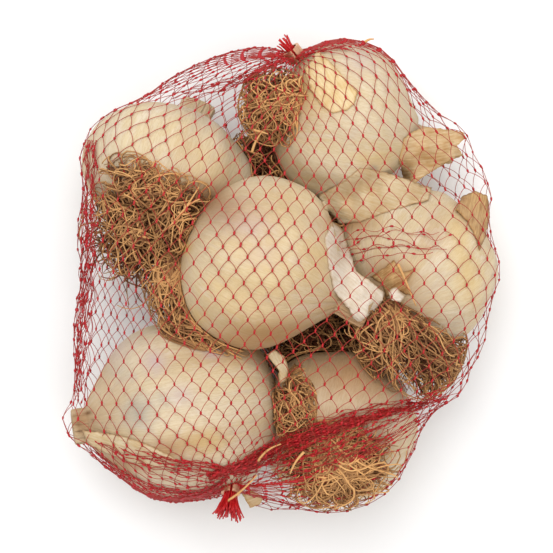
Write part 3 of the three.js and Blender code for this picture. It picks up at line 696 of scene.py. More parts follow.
bulbs = {name: Bulb(name, index) for index, name in enumerate(BULBS)}


# ---- what the net is drawn over ---------------------------------------------------------------
GRID_STEP = 2.2
GRID_LOW = np.array([-95.0, -103.0, -8.0])
GRID_SIZE = (87, 95, 49)
MAT_INSET = 0.4  # how far a mat of roots gives way to the net


def turned_about_z(points, degrees):
    turn = math.radians(degrees)
    x = points[..., 0] * math.cos(turn) - points[..., 1] * math.sin(turn)
    y = points[..., 0] * math.sin(turn) + points[..., 1] * math.cos(turn)
    return np.stack([x, y, points[..., 2]], axis=-1)


def mound_distance(mound, points):
    """How far points are outside a mat of roots or a bulge."""
    local = turned_about_z(points - np.array(mound["at"], float), -mound["turn"])
    half = np.array(mound["half"], float)
    scaled = local / half
    length = np.linalg.norm(scaled, axis=-1)
    steep = np.maximum(np.linalg.norm(scaled / half, axis=-1), 1e-6)
    return length * (length - 1) / steep


def neck_cap_distance(bulb, points):
    """How far points are outside the round tip that a neck gives the net."""
    tip = bulb.centre + bulb.turn @ np.array([0, bulb.end - 3.0, 0])
    return np.linalg.norm(points - tip, axis=-1) - 1.25 * bulb.facts["neck_radius"]


class Field:
    """Distances kept at the points of a grid, so that thousands of places are quick to look up."""

    def __init__(self, values):
        self.values = values

    def __call__(self, points):
        scaled = np.clip((points - GRID_LOW) / GRID_STEP, 0, np.array(GRID_SIZE) - 1.001)
        base = scaled.astype(int)
        share = scaled - base
        total = np.zeros(points.shape[:-1])
        for corner in np.ndindex(2, 2, 2):
            weight = np.prod(np.where(corner, share, 1 - share), axis=-1)
            i, j, k = np.moveaxis(base + corner, -1, 0)
            total += weight * self.values[i, j, k]
        return total


def make_fields():
    """Distances from the bulbs, from them and their roots, and from all that holds the net out."""
    places = np.stack(np.meshgrid(*[np.arange(n) for n in GRID_SIZE], indexing="ij"), axis=-1)
    places = places * GRID_STEP + GRID_LOW
    of_bulbs = np.min([bulb.distance(places) for bulb in bulbs.values()], axis=0)
    mats = [mound_distance(tuft, places) + MAT_INSET for tuft in TUFTS.values()]
    of_contents = np.min([of_bulbs] + mats, axis=0)
    caps = [neck_cap_distance(bulb, places) for bulb in bulbs.values() if bulb.facts["neck"][2] > -0.3]
    bulges = [mound_distance(bulge, places) for bulge in BULGES]
    support = np.min([of_contents] + caps + bulges, axis=0)
    return Field(of_bulbs), Field(of_contents), Field(support)


from_bulbs, from_contents, from_support = make_fields()


def slope(distance, points, step=0.6):
    """The way out from a distance field, by differences."""
    ways = [distance(points + step * axis) - distance(points - step * axis) for axis in np.eye(3)]
    return distance(points), unit(np.stack(ways, axis=-1))


def push_out(points, distance, clearance):
    """Moves the points that are too near out to the clearance."""
    near = distance(points) < clearance
    if near.any():
        here, way = slope(distance, points[near])
        points[near] += way * (clearance - here)[:, None]
    return near


MARCH_STEPS = 90
TOUCH = 0.05  # this near counts as there


def march(starts, ways, reach, distance):
    """How far along each way the first surface lies, or -1 where there is none."""
    gone = np.zeros(len(starts))
    found = np.full(len(starts), -1.0)
    for _ in range(MARCH_STEPS):
        gap = distance(starts + ways * gone[:, None])
        hit = (gap < TOUCH) & (found < 0)
        found[hit] = gone[hit]
        gone += np.maximum(0.85 * gap, 0.04) * (found < 0)
        if ((found >= 0) | (gone > reach)).all():
            break
    return found


# ---- the net ----------------------------------------------------------------------------------
FIRST = np.array(ENDS["bottom_clip"]["at"], float)
LAST = np.array(ENDS["top_clip"]["at"], float)
MIDDLE = (FIRST + LAST) / 2
HALF_LENGTH = np.linalg.norm(LAST - FIRST) / 2
AXIS = unit(LAST - FIRST)
ACROSS = unit(np.cross(AXIS, [0.0, 0.0, 1.0]))
UPWARD = np.cross(ACROSS, AXIS)
FAN_ROWS = 110
FAN_COLUMNS = 180
ROPE_POINTS = 16
GATHER = 1.8  # above 1, so that the columns of the net crowd towards the clip
MERIDIAN_POINTS = 90
FAR_OUT = 135.0  # from where the net is let in
FIRST_REACH = 110.0
LEAST_REACH = 8.0
EASING_PASSES = 900
LENGTHWISE_PULL, ROUND_PULL = 0.8, 0.2  # as shares
STRETCH_FIX = 0.45  # the share of a strand's wrong length mended in a pass
SHORTEST = 0.6  # of a strand's length, as its knots are pushed together
SMOOTHING = 0.12
GRIP = 0.35  # the share of its way that a knot loses where it touches
HELD_WITHIN = 14.0  # of a clip, where the knots hardly move
SLACK = 0.05  # how much the net sinks in a pass where it faces up


def fan_of_ways():
    """Directions from the bag's middle: rows from the bottom clip to the top, columns round it."""
    down = np.linspace(0, np.pi, FAN_ROWS)[:, None]
    round_ = np.linspace(-np.pi / 2, 1.5 * np.pi, FAN_COLUMNS, endpoint=False)[None, :]
    side = ACROSS * np.cos(round_)[..., None] + UPWARD * np.sin(round_)[..., None]
    return -AXIS * np.cos(down)[..., None] + side * np.sin(down)[..., None]


def taut_reach():
    """How far out the net lies each way: let in from outside, nearly straight, slack on top."""
    ways = fan_of_ways()
    flat = ways.reshape(-1, 3)
    found = march(MIDDLE + flat * FAR_OUT, -flat, FAR_OUT, lambda at: from_support(at) - NET_CLEARANCE)
    limit = np.where(found < 0, LEAST_REACH, FAR_OUT - found).reshape(ways.shape[:2])
    reach = np.full_like(limit, FIRST_REACH)
    upward = np.clip(ways[..., 2], 0, 1)
    below = np.maximum(-ways[..., 2], 0.05)
    floor = np.where(ways[..., 2] < -0.05, (MIDDLE[2] - 0.3) / below, 1e9)
    for _ in range(EASING_PASSES):
        place = ways * reach[..., None]
        lengthwise = place.copy()
        lengthwise[1:-1] = (place[2:] + place[:-2]) / 2
        roundabout = (np.roll(place, 1, axis=1) + np.roll(place, -1, axis=1)) / 2
        mean = lengthwise * LENGTHWISE_PULL + roundabout * ROUND_PULL
        eased = np.sum(mean * ways, axis=-1) - SLACK * upward
        reach = np.minimum(np.maximum(limit, eased), floor)
        reach[0] = reach[-1] = HALF_LENGTH
    return reach


def places_of_ways(reach, ways):
    """Where the net lies in any directions from the middle."""
    down = np.arccos(np.clip(-ways @ AXIS, -1, 1)) / np.pi * (FAN_ROWS - 1)
    round_ = (np.arctan2(ways @ UPWARD, ways @ ACROSS) / (2 * np.pi) + 0.25) % 1 * FAN_COLUMNS
    row = np.minimum(down.astype(int), FAN_ROWS - 2)
    column = round_.astype(int) % FAN_COLUMNS
    beside = (column + 1) % FAN_COLUMNS
    fr, fc = down - row, round_ - np.floor(round_)
    near = reach[row, column] * (1 - fc) + reach[row, beside] * fc
    next_ = reach[row + 1, column] * (1 - fc) + reach[row + 1, beside] * fc
    return MIDDLE + ways * (near * (1 - fr) + next_ * fr)[..., None]


def way_from_plane(pole, x, y):
    """A direction from a place on a flat map round a pole, where a circle stays a circle."""
    out = np.maximum(np.hypot(x, y), 1e-9)
    angle = 2 * np.arctan(out)
    side = (ACROSS * x[..., None] + UPWARD * y[..., None]) / out[..., None]
    return pole * np.cos(angle)[..., None] + side * np.sin(angle)[..., None]


class Rope:
    """A rope of gathered net as a curve on the flat map round its end of the bag."""

    def __init__(self, end, pole):
        self.pole = pole
        ways = unit(np.array(ROPES[end], float) - MIDDLE)
        spread = np.tan(np.arccos(ways @ pole) / 2)
        side = ways - (ways @ pole)[:, None] * pole
        side = unit(side) * spread[:, None]
        self.low, self.high = side[0] @ ACROSS, side[-1] @ ACROSS
        self.x = np.linspace(self.low, self.high, 60)
        y = np.interp(self.x, side @ ACROSS, side @ UPWARD)
        smooth = np.convolve(np.pad(y, 6, mode="edge"), np.ones(13) / 13, mode="valid")
        self.y = smooth - np.interp(0, self.x, smooth)

    def way(self, x):
        """A direction to the rope itself."""
        return way_from_plane(self.pole, x, np.interp(x, self.x, self.y))

    def way_beside(self, away, round_):
        """A direction: columns leave the rope square to it and spread round the bag from there."""
        small = np.tan(np.minimum(away, 0.98 * np.pi) / 2)
        near = 1 / (1 + (small / 0.5) ** 2)
        x = np.sign(np.cos(round_)) * np.hypot(self.start(round_), small * np.cos(round_))
        y = small * np.sin(round_) + near * np.interp(x, self.x, self.y)
        return way_from_plane(self.pole, x, y)

    def start(self, round_):
        """Where along the rope each column leaves it, most of them near the clip."""
        across = np.cos(round_)
        return np.where(across > 0, self.high, -self.low) * across * np.abs(across) ** (GATHER - 1)


def column_lines(reach, random):
    """Each column of the net as a line: along one rope, over the bag, and along the other rope."""
    round_ = np.arange(COLUMNS) / COLUMNS * 2 * np.pi - np.pi / 2
    along = np.linspace(0, 1, MERIDIAN_POINTS)[:, None]
    lower_rope, upper_rope = Rope("bottom_clip", -AXIS), Rope("top_clip", AXIS)
    lower = lower_rope.way_beside(along * np.pi, round_[None, :])
    upper = upper_rope.way_beside((1 - along) * np.pi, round_[None, :])
    blend = np.clip((along - 0.35) / 0.3, 0, 1)[..., None]
    blend = blend * blend * (3 - 2 * blend)
    over = places_of_ways(reach, unit(lower * (1 - blend) + upper * blend))
    ropes = []
    for end, line in (("bottom_clip", lower_rope), ("top_clip", upper_rope)):
        share = np.linspace(0, 1, ROPE_POINTS)[:-1, None]
        rope = places_of_ways(reach, line.way(line.start(round_) * share))
        spread = random.normal(0, 1, (COLUMNS, 3)) * np.array([0.8, 0.8, 0.6])
        waist = np.array(ENDS[end]["at"], float) + random.normal(0, 0.55, (COLUMNS, 3))
        rope += spread * (0.4 + 1.5 * share[..., None]) * np.minimum(share[..., None] * 4, 1)
        rope[0] = waist
        ropes.append(rope)
    return np.concatenate([ropes[0], over, ropes[1][::-1]])


def spaced_knots(lines):
    """Knots along each column, closer where the cells are wide, as one thread length allows."""
    steps = np.linalg.norm(np.diff(lines, axis=0), axis=-1)
    ring = np.linalg.norm(np.diff(lines, axis=1, append=lines[:, :1]), axis=-1).sum(axis=1)
    half_cell = np.minimum(ring / COLUMNS / 2, 0.7 * STRAND_LENGTH)
    spacing = np.sqrt(STRAND_LENGTH ** 2 - half_cell ** 2)
    density = 2 / (spacing[1:] + spacing[:-1])
    gone = np.concatenate([np.zeros((1, COLUMNS)), np.cumsum(steps * density[:, None], axis=0)])
    knots = np.empty((ROWS, COLUMNS, 3))
    for row in range(ROWS):
        for column in range(COLUMNS):
            wanted = row / (ROWS - 1) * gone[-1, column]
            line = lines[:, column]
            knots[row, column] = [np.interp(wanted, gone[:, column], line[:, k]) for k in range(3)]
    knots[1::2] = (knots[1::2] + np.roll(knots[1::2], -1, axis=1)) / 2
    return knots


def smooth_noise(random, rows, columns, cell):
    """Noise that changes slowly from row to row and from column to column."""
    coarse = random.normal(0, 1, (rows // cell + 2, columns // cell, 3))
    coarse = np.concatenate([coarse, coarse[:, :1]], axis=1)
    r = np.linspace(0, coarse.shape[0] - 1.001, rows)
    c = np.linspace(0, coarse.shape[1] - 1.001, columns)
    i, j = r.astype(int), c.astype(int)
    fr, fc = (r - i)[:, None, None], (c - j)[None, :, None]
    near = coarse[i][:, j] * (1 - fc) + coarse[i][:, j + 1] * fc
    far = coarse[i + 1][:, j] * (1 - fc) + coarse[i + 1][:, j + 1] * fc
    return near * (1 - fr) + far * fr


def pull_strands(knots, shortest, longest):
    """One pass that draws too long strands in and pushes too short ones apart."""
    move = np.zeros_like(knots)
    for sideways in (0, 1):
        for parity in (0, 1):
            rows = np.arange(parity, ROWS - 1, 2)
            shift = sideways if parity else -sideways
            upper = np.roll(knots[rows + 1], -shift, axis=1)
            gap = upper - knots[rows]
            length = np.maximum(np.linalg.norm(gap, axis=-1, keepdims=True), 1e-6)
            wanted = np.clip(length, shortest, longest)
            fix = gap * (length - wanted) / length / 2
            move[rows] += fix
            move[rows + 1] -= np.roll(fix, shift, axis=1)
    return move * STRETCH_FIX


def middle_of_ties(knots):
    """The middle of the four knots that each knot is tied to, all but the first and last rows."""
    odd = np.arange(ROWS)[:, None, None] % 2 == 1
    pair = knots + np.where(odd, np.roll(knots, 1, axis=1), np.roll(knots, -1, axis=1))
    return (pair[2:] + pair[:-2]) / 4


def settle(knots, held, passes):
    """Lets the knots find their places: strands hold their length, the contents push back."""
    for _ in range(passes):
        before = knots.copy()
        move = pull_strands(knots, SHORTEST * STRAND_LENGTH, STRAND_LENGTH)
        smooth = np.zeros_like(knots)
        smooth[1:-1] = (middle_of_ties(knots) - knots[1:-1]) * SMOOTHING
        knots += (move + smooth) * (1 - 0.9 * held[..., None])
        knots[0], knots[-1] = before[0], before[-1]
        flat = knots.reshape(-1, 3)
        touching = push_out(flat, from_support, NET_CLEARANCE).reshape(knots.shape[:2])
        knots[..., 2] = np.maximum(knots[..., 2], STRAND_RADIUS + 0.05)
        slid = knots - before
        knots[touching] -= slid[touching] * GRIP
    return knots


def strand_paths(knots, lengthwise):
    """Each strand runs steeply up out of one knot and comes in from the side at the next."""
    paths = []
    for sideway in (0, 1):
        for parity in (0, 1):
            rows = np.arange(parity, ROWS - 1, 2)
            shift = sideway if parity else -sideway
            start = knots[rows] + lengthwise[rows] * KNOT_REACH
            end = np.roll(knots[rows + 1] - lengthwise[rows + 1] * KNOT_REACH, -shift, axis=1)
            gap = end - start
            length = np.linalg.norm(gap, axis=-1, keepdims=True)
            across = gap - lengthwise[rows] * np.sum(gap * lengthwise[rows], axis=-1, keepdims=True)
            leave = gap * 0.55 + lengthwise[rows] * length * 0.5
            arrive = gap * 0.75 + across * 0.5
            t = np.linspace(0, 1, STRAND_POINTS)[:, None, None, None]
            path = ((2 * t ** 3 - 3 * t ** 2 + 1) * start + (t ** 3 - 2 * t ** 2 + t) * leave
                    + (-2 * t ** 3 + 3 * t ** 2) * end + (t ** 3 - t ** 2) * arrive)
            paths.append(np.moveaxis(path, 0, 2).reshape(-1, STRAND_POINTS, 3))
    return np.concatenate(paths)


def make_net(material):
    """The tube of net over the contents; returns its knots and the ways they point."""
    random = np.random.default_rng(7)
    knots = spaced_knots(column_lines(taut_reach(), random))
    fade = np.sin(np.linspace(0, np.pi, ROWS))[:, None, None]
    knots += (smooth_noise(random, ROWS, COLUMNS, 6) + random.normal(0, 0.2, knots.shape)) * fade
    from_end = np.min([np.linalg.norm(knots - end, axis=-1) for end in (FIRST, LAST)], axis=0)
    held = np.clip(1 - from_end / HELD_WITHIN, 0, 1)
    knots = settle(knots, held, 150)
    lengthwise = unit(np.gradient(knots, axis=0))
    paths = strand_paths(knots, lengthwise)
    flat = paths.reshape(-1, 3)
    for _ in range(2):
        push_out(flat, from_contents, STRAND_CLEARANCE)
    flat[:, 2] = np.maximum(flat[:, 2], STRAND_RADIUS + 0.02)
    upper = paths[:, :, 2].mean(axis=1) > MIDDLE[2] - 8
    for side, chosen in (("over", upper), ("under", ~upper)):
        radii = np.full(paths[chosen].shape[:2], STRAND_RADIUS)
        new_mesh("net_" + side, *sweep(paths[chosen], radii), material, "net_thread")
    return knots[1:-1].reshape(-1, 3), lengthwise[1:-1].reshape(-1, 3)


FOLD_STEP = 1.1  # millimetres
FOLD_THICKNESS = 1.6
FOLD_SAG = 14.0  # how far a fold sinks between what it lies on
FOLD_KNOTS = 9  # steps from knot to knot
KNOT_HALF_LENGTH = 0.72
KNOT_SIDES = 5
KNOT_WIDTHS = [0.15, 0.29, 0.37, 0.41, 0.36, 0.2]


def fold_threads(threads, places, random):
    """The threads of one fold, each wandering along it and zigzagging as drawn-out net does."""
    places = np.array(places, float)
    span = np.linalg.norm(np.diff(places[:, :2], axis=0), axis=1)
    gone = np.concatenate([[0.0], np.cumsum(span)])
    steps = max(8, int(gone[-1] * PIXEL / FOLD_STEP))
    share = np.linspace(0, gone[-1], steps)
    line = np.stack([np.interp(share, gone, places[:, k]) for k in (0, 1)], axis=1)
    line[1:-1] = (line[2:] + line[:-2] + 2 * line[1:-1]) / 4
    along = unit(np.gradient(line, axis=0))
    beside = np.stack([-along[:, 1], along[:, 0]], axis=1)
    given = np.where(places[:, 2] > 0, places[:, 2], 0.0)
    half = np.interp(share, gone, places[:, 3])
    paths = []
    for _ in range(threads):
        start, end = np.clip(random.normal(0, 0.6, 2), -1.5, 1.5)
        drift = np.linspace(start, end, steps)
        kept = int(steps * min(1.0, random.triangular(0.3, 0.95, 1.15)))
        phase, wave = random.uniform(0, 6.28), random.uniform(26, 34)
        zigzag = np.sin(share / wave * 2 * np.pi + phase) * np.minimum(half / 6, 1)
        zigzag = zigzag * random.uniform(0.6, 2.2)
        pixels = line + beside * (drift * half + zigzag)[:, None]
        heights = top_under(pixels, from_contents)
        lifted = np.maximum(np.interp(share, gone, given), heights)
        heights = np.where(np.interp(share, gone, given > 0) > 0.5, lifted, heights)
        heights = np.maximum(heights, heights.max() - FOLD_SAG)
        heights = np.convolve(np.pad(heights, 3, mode="edge"), np.ones(7) / 7, mode="valid")
        lift = NET_CLEARANCE + random.uniform(0, FOLD_THICKNESS) + 0.5 * np.sin(share / 17 + phase)
        paths.append(place_of(pixels, heights + lift)[:kept])
    return paths


def make_folds(material):
    """Bunched net lying over the contents; returns its knots and the ways they point."""
    random = np.random.default_rng(31)
    knots, ways = [], []
    all_points, all_loops, all_sizes, base = [], [], [], 0
    for threads, places in FOLDS.values():
        for path in fold_threads(threads, places, random):
            whole = path[None]
            flat = whole.reshape(-1, 3)
            push_out(flat, from_contents, STRAND_CLEARANCE)
            flat[:, 2] = np.maximum(flat[:, 2], STRAND_RADIUS + 0.05)
            points, loops, sizes = sweep(whole, np.full(whole.shape[:2], STRAND_RADIUS))
            all_points.append(points)
            all_loops.append(loops + base)
            all_sizes.append(sizes)
            base += len(points)
            every = np.arange(random.integers(2, FOLD_KNOTS), len(path) - 1, FOLD_KNOTS)
            knots.append(path[every])
            ways.append(unit(np.gradient(path, axis=0))[every])
    arrays = [np.concatenate(parts) for parts in (all_points, all_loops, all_sizes)]
    new_mesh("net_folds", *arrays, material, "net_thread")
    return np.concatenate(knots), np.concatenate(ways)


def make_knots(name, places, lengthwise, material):
    """Each knot is a little stitch, longer than wide, where four strands meet."""
    random = np.random.default_rng(8)
    steps = np.linspace(-1, 1, len(KNOT_WIDTHS))
    length = KNOT_HALF_LENGTH + random.normal(0, 0.08, len(places))
    paths = places[:, None] + lengthwise[:, None] * steps[None, :, None] * length[:, None, None]
    radii = np.array(KNOT_WIDTHS)[None, :] * (1 + random.normal(0, 0.08, len(places)))[:, None]
    new_mesh(name, *sweep(paths, radii, KNOT_SIDES), material, "net_thread")


# ---- roots ------------------------------------------------------------------------------------
ROOT_STEPS = 15
ROOT_SIDES = 4
ROOT_RADII = (0.27, 0.48)
ROOT_LENGTHS = (16, 38)
ROOT_SPREAD = 3.2  # round the place they spring from
ROOT_PULL = 0.32  # towards a root's goal in its mat
ROOT_WANDER = 0.22
ROOT_GAP = 0.45  # from the bulbs to a root's middle line
ROOT_INSET = 0.7  # inside their mat
ROOT_FLOOR = 0.8


def grow_roots(name, facts, random):
    """Roots set off from the root plate, curl, stay in their mat and go round the bulbs."""
    count = facts["count"]
    middle, spring, half = (np.array(facts[key], float) for key in ("at", "spring", "half"))
    heading = unit(np.array(facts["heading"], float))
    start = spring + random.normal(0, 1, (count, 3)) * ROOT_SPREAD
    inside = random.normal(0, 1, (count, 3))
    inside = unit(inside) * random.random((count, 1)) ** (1 / 3) * half * 0.95
    goal = middle + turned_about_z(inside, facts["turn"])
    step = (random.uniform(*ROOT_LENGTHS, count) / (ROOT_STEPS - 1))[:, None]
    way = unit(heading + random.normal(0, 0.55, (count, 3)))
    spin = unit(random.normal(0, 1, (count, 3)))
    curl = random.uniform(0.15, 0.75, count)[:, None] * facts["curl"]
    place = start.copy()
    path = [place.copy()]
    for k in range(ROOT_STEPS - 1):
        towards = goal - place
        pull = unit(towards) * np.minimum(np.linalg.norm(towards, axis=1, keepdims=True) / 12, 1)
        wander = random.normal(0, ROOT_WANDER, (count, 3))
        way = unit(way + pull * ROOT_PULL + np.cross(spin, way) * curl + wander)
        spin = unit(spin + random.normal(0, 0.5, (count, 3)))
        place = place + way * step
        push_out(place, from_bulbs, ROOT_GAP)
        over = mound_distance(facts, place)
        place -= unit(place - middle) * np.clip(over - 0.3, 0, 6)[:, None]
        path.append(place.copy())
    paths = np.stack(path, axis=1)
    smooth = paths.copy()
    smooth[:, 1:-1] = paths[:, 1:-1] * 0.5 + (paths[:, 2:] + paths[:, :-2]) * 0.25
    for _ in range(3):
        stray = random.exponential(facts["loose"], (count, 1))
        over = np.maximum(mound_distance(facts, smooth) + ROOT_INSET - stray, 0)
        smooth -= unit(smooth - middle) * over[..., None]
    smooth[..., 2] = np.maximum(smooth[..., 2], ROOT_FLOOR)
    return smooth


def make_roots(material):
    """One piece for each mat; the deeper a root lies in it, the darker it is drawn, as painted shade.
    """
    for index, (name, facts) in enumerate({**TUFTS, **MORE_ROOTS}.items()):
        random = np.random.default_rng(100 + index)
        paths = grow_roots(name, facts, random)
        count = len(paths)
        taper = np.linspace(1, 0.45, ROOT_STEPS)[None, :]
        radii = random.uniform(*ROOT_RADII, (count, 1)) * taper
        # Painted shade: roots are drawn darker the deeper they lie in their mat.
        depth_shade = np.clip(-mound_distance(facts, paths) / 7, 0, 1).reshape(-1)
        # Each root's own tone, made paler by the mat's light, in part painted light on the mats on
        # top.
        tone = np.repeat(random.random(count) + facts["light"], ROOT_STEPS * ROOT_SIDES)
        tone = tone - np.repeat(depth_shade, ROOT_SIDES) * 0.75
        along = np.tile(np.repeat(np.linspace(0, 1, ROOT_STEPS), ROOT_SIDES), count)
        values = dict(tone=tone, along=along)
        new_mesh("roots_" + name, *sweep(paths, radii, ROOT_SIDES), material, "dried_root", values)


# ---- bulbs ------------------------------------------------------------------------------------
AROUND = 144
ALONG = 96
SKIN_END = 0.93  # the share of the ball that makes the skin
NECK_SHARE = 0.07  # the rest, which folds into the neck
NECK_HOLLOW = 2.5
LOWEST_SKIN = 0.45


def stain_and_shade_at(kind, pixels):
    """How strongly one kind of stain, with its painted shade, shows at places of the photograph's
    frame.
    """
    total = np.zeros(len(pixels))
    for across, down, half_width, half_height, turn, strength in STAINS_AND_SHADE[kind]:
        local = pixels - np.array([across, down], float)
        c, s = math.cos(math.radians(turn)), math.sin(math.radians(turn))
        along = (local[:, 0] * c + local[:, 1] * s) / half_width
        beside = (local[:, 1] * c - local[:, 0] * s) / half_height
        total = np.maximum(total, strength * np.exp(-(along ** 2 + beside ** 2)))
    return total


def skin_lift(bulb, angle, share):
    """How far the skin stands out: dents on the body, pleats by the neck and its slimmer end."""
    phase = np.random.default_rng(20 + bulb.index).random(6) * 2 * np.pi
    dent = (0.45 * np.sin(2 * angle + phase[0] + 3 * share)
            + 0.3 * np.sin(5 * angle + phase[1]) * np.sin(7 * share + phase[2])
            + 0.22 * np.sin(11 * angle + 4 * share + phase[3]))
    pleats = 0.55 * np.sin(13 * angle + phase[4]) + 0.35 * np.sin(23 * angle + phase[5] + 3 * share)
    pleats = np.clip((share - 0.72) / 0.28, 0, 1) * pleats
    body = np.clip(share / 0.12, 0, 1) * np.clip((1.02 - share) / 0.2, 0, 1)
    slimmer = np.clip((share - 0.9) / 0.1, 0, 1) * bulb.facts["neck_radius"] * bulb.facts["neck_taper"]
    return (dent - 0.7) * body * 0.45 + pleats * 0.6 - slimmer


def fold_in(bulb, places, depth):
    """Draws the end of the ball into the neck, which leaves its cut end a little hollow."""
    core = bulb.centre + bulb.turn @ np.array([0, bulb.end, 0])
    inward = np.clip(depth / 0.35, 0, 1)
    down = np.clip((depth - 0.35) / 0.4, 0, 1)
    places += (core - places) * (inward * 0.3 + np.clip((depth - 0.75) / 0.25, 0, 1) * 0.7)[:, None]
    places -= (bulb.turn @ np.array([0, 1.0, 0])) * (down * NECK_HOLLOW)[:, None]
    places[:, 2] = np.maximum(places[:, 2], LOWEST_SKIN)


def make_bulb(bulb, material):
    """A ball, drawn out ring by ring to the bulb's form, with its neck cut open."""
    bpy.ops.mesh.primitive_uv_sphere_add(segments=AROUND, ring_count=ALONG, radius=1)
    piece = bpy.context.object
    piece.name = piece.data.name = "bulb_" + bulb.name
    mesh = piece.data
    ball = np.empty(len(mesh.vertices) * 3)
    mesh.vertices.foreach_get("co", ball)
    ball = ball.reshape(-1, 3)
    angle = np.arctan2(ball[:, 0], ball[:, 1])
    step = np.arcsin(np.clip(ball[:, 2], -1, 1)) / np.pi + 0.5
    share = np.minimum(step / SKIN_END, 1.0)
    depth = np.maximum(step - SKIN_END, 0.0) / NECK_SHARE
    places = bulb.surface(angle, share, lift=skin_lift(bulb, angle, share))
    fold_in(bulb, places, depth)
    mesh.vertices.foreach_set("co", ((places + OFFSET) * MM).ravel())
    local = (places - bulb.centre) @ bulb.turn / bulb.radius
    give(mesh, "around", np.stack([np.sin(angle), np.cos(angle), local[:, 1]], axis=-1))
    pixels = pixel_of(places)
    # Each point's stains and painted shade, kept for the skin's material.
    for kind in STAINS_AND_SHADE:
        give(mesh, kind, stain_and_shade_at(kind, pixels))
    mesh.polygons.foreach_set("use_smooth", np.ones(len(mesh.polygons), bool))
    mesh.flip_normals()  # the mapping to the bulb's form turns the ball's faces inwards
    mesh.update()
    return dress(piece, material)


# ---- loose skins and straws -------------------------------------------------------------------
PAPER_GRID = 3.0  # pixels
RIM_STEP = 2.0  # pixels between the rim's points
RIM_MARGIN = 1.4  # pixels left free inside the rim
RIM_SHADE = 2.5  # pixels over which the rim is darker
RIM_LIFT = 0.3  # above the bulbs, as are the two below
RIDGE_LIFT = 2.0
PAPER_LIFT = 0.28
PAPER_THICKNESS = 0.16
PAPER_DROOP = 12.0  # how far a skin's edge hangs below most of it
ABOVE_ALL = 95.0
STRAW_RADII = np.linspace(0.5, 0.22, 9)


def top_under(pixels, distance):
    """How high the bulbs, or all the contents, are at pixels of the photograph's frame."""
    heights = np.full(len(pixels), SCALE_HEIGHT)
    for _ in range(3):
        starts = place_of(pixels, heights)
        starts[:, 2] = ABOVE_ALL
        gone = march(starts, np.tile([0.0, 0.0, -1.0], (len(starts), 1)), ABOVE_ALL - 1, distance)
        heights = np.where(gone > 0, ABOVE_ALL - gone, 0.0)
    return heights


def torn_outline(corners, random):
    """The outline with points every few pixels, each a little off the straight line."""
    points = []
    for here, after in zip(corners, np.roll(corners, -1, axis=0)):
        steps = max(1, int(np.linalg.norm(after[:2] - here[:2]) / RIM_STEP))
        for step in range(steps):
            point = here + (after - here) * step / steps
            point[:2] += random.normal(0, 0.35, 2)
            points.append(point)
    return np.array(points)


def inside_outline(outline, points):
    """Which points lie inside a closed outline, by counting its crossings to their right."""
    inside = np.zeros(len(points), bool)
    for (x0, y0), (x1, y1) in zip(outline, np.roll(outline, -1, axis=0)):
        crosses = (y0 > points[:, 1]) != (y1 > points[:, 1])
        edge = x0 + (points[:, 1] - y0) / np.where(y1 == y0, 1e-9, y1 - y0) * (x1 - x0)
        inside ^= crosses & (points[:, 0] < edge)
    return inside


def from_rim(pixels, rim):
    """How many pixels places are from the rim's nearest point."""
    return np.linalg.norm(pixels[:, None] - rim[None, :, :2], axis=2).min(axis=1)


def grid_inside(rim):
    """Places a few pixels apart inside the rim."""
    low, high = rim[:, :2].min(axis=0), rim[:, :2].max(axis=0)
    lines = [np.arange(low[k], high[k], PAPER_GRID) for k in (0, 1)]
    grid = np.stack(np.meshgrid(*lines), axis=-1).reshape(-1, 2)
    return grid[inside_outline(rim[:, :2], grid) & (from_rim(grid, rim) > RIM_MARGIN)]


def given_or_on_bulbs(places, lift):
    """The heights that places are given, or those of the bulbs where they are 0."""
    return np.where(places[:, 2] > 0, places[:, 2], top_under(places[:, :2], from_bulbs) + lift)


def heights_between(pixels, known):
    """Heights between known places, the nearest of which count most."""
    weight = 1 / (np.linalg.norm(pixels[:, None] - known[None, :, :2], axis=2) ** 2.2 + 0.5)
    return (weight * known[:, 2]).sum(axis=1) / weight.sum(axis=1)


def drape(facts, seed):
    """A skin's rim, and its rim's and inner places in pixels with their heights on the bulbs."""
    corners = np.array(facts["outline"], float)
    corners[:, 2] = given_or_on_bulbs(corners, RIM_LIFT)
    corners[:, 2] = np.maximum(corners[:, 2], np.median(corners[:, 2]) - PAPER_DROOP)
    rim = torn_outline(corners, np.random.default_rng(seed))
    grid = grid_inside(rim)
    ridge = np.array(facts["ridge"], float).reshape(-1, 3)
    ridge[:, 2] = given_or_on_bulbs(ridge, RIDGE_LIFT)
    height = heights_between(grid, np.concatenate([rim, np.repeat(ridge, 6, axis=0)]))
    pixels = np.concatenate([rim[:, :2], grid])
    heights = np.concatenate([rim[:, 2], height])
    heights = np.maximum(heights, top_under(pixels, from_bulbs) + PAPER_LIFT)
    heights += 0.12 * np.sin(pixels[:, 0] * 0.5 + seed) * np.sin(pixels[:, 1] * 0.4)
    return rim, pixels, heights


def thicken(piece):
    """Turns the cut skin's faces up and gives it its thickness below them."""
    bpy.ops.object.select_all(action="DESELECT")
    bpy.context.view_layer.objects.active = piece
    piece.select_set(True)
    bpy.ops.object.mode_set(mode="EDIT")
    bpy.ops.mesh.select_all(action="SELECT")
    bpy.ops.mesh.normals_make_consistent(inside=False)
    bpy.ops.object.mode_set(mode="OBJECT")
    if sum(polygon.normal.z * polygon.area for polygon in piece.data.polygons) < 0:
        piece.data.flip_normals()
    bpy.ops.object.modifier_add(type="SOLIDIFY")
    piece.modifiers[0].thickness = PAPER_THICKNESS * MM
    piece.modifiers[0].offset = -1
    bpy.ops.object.modifier_apply(modifier=piece.modifiers[0].name)


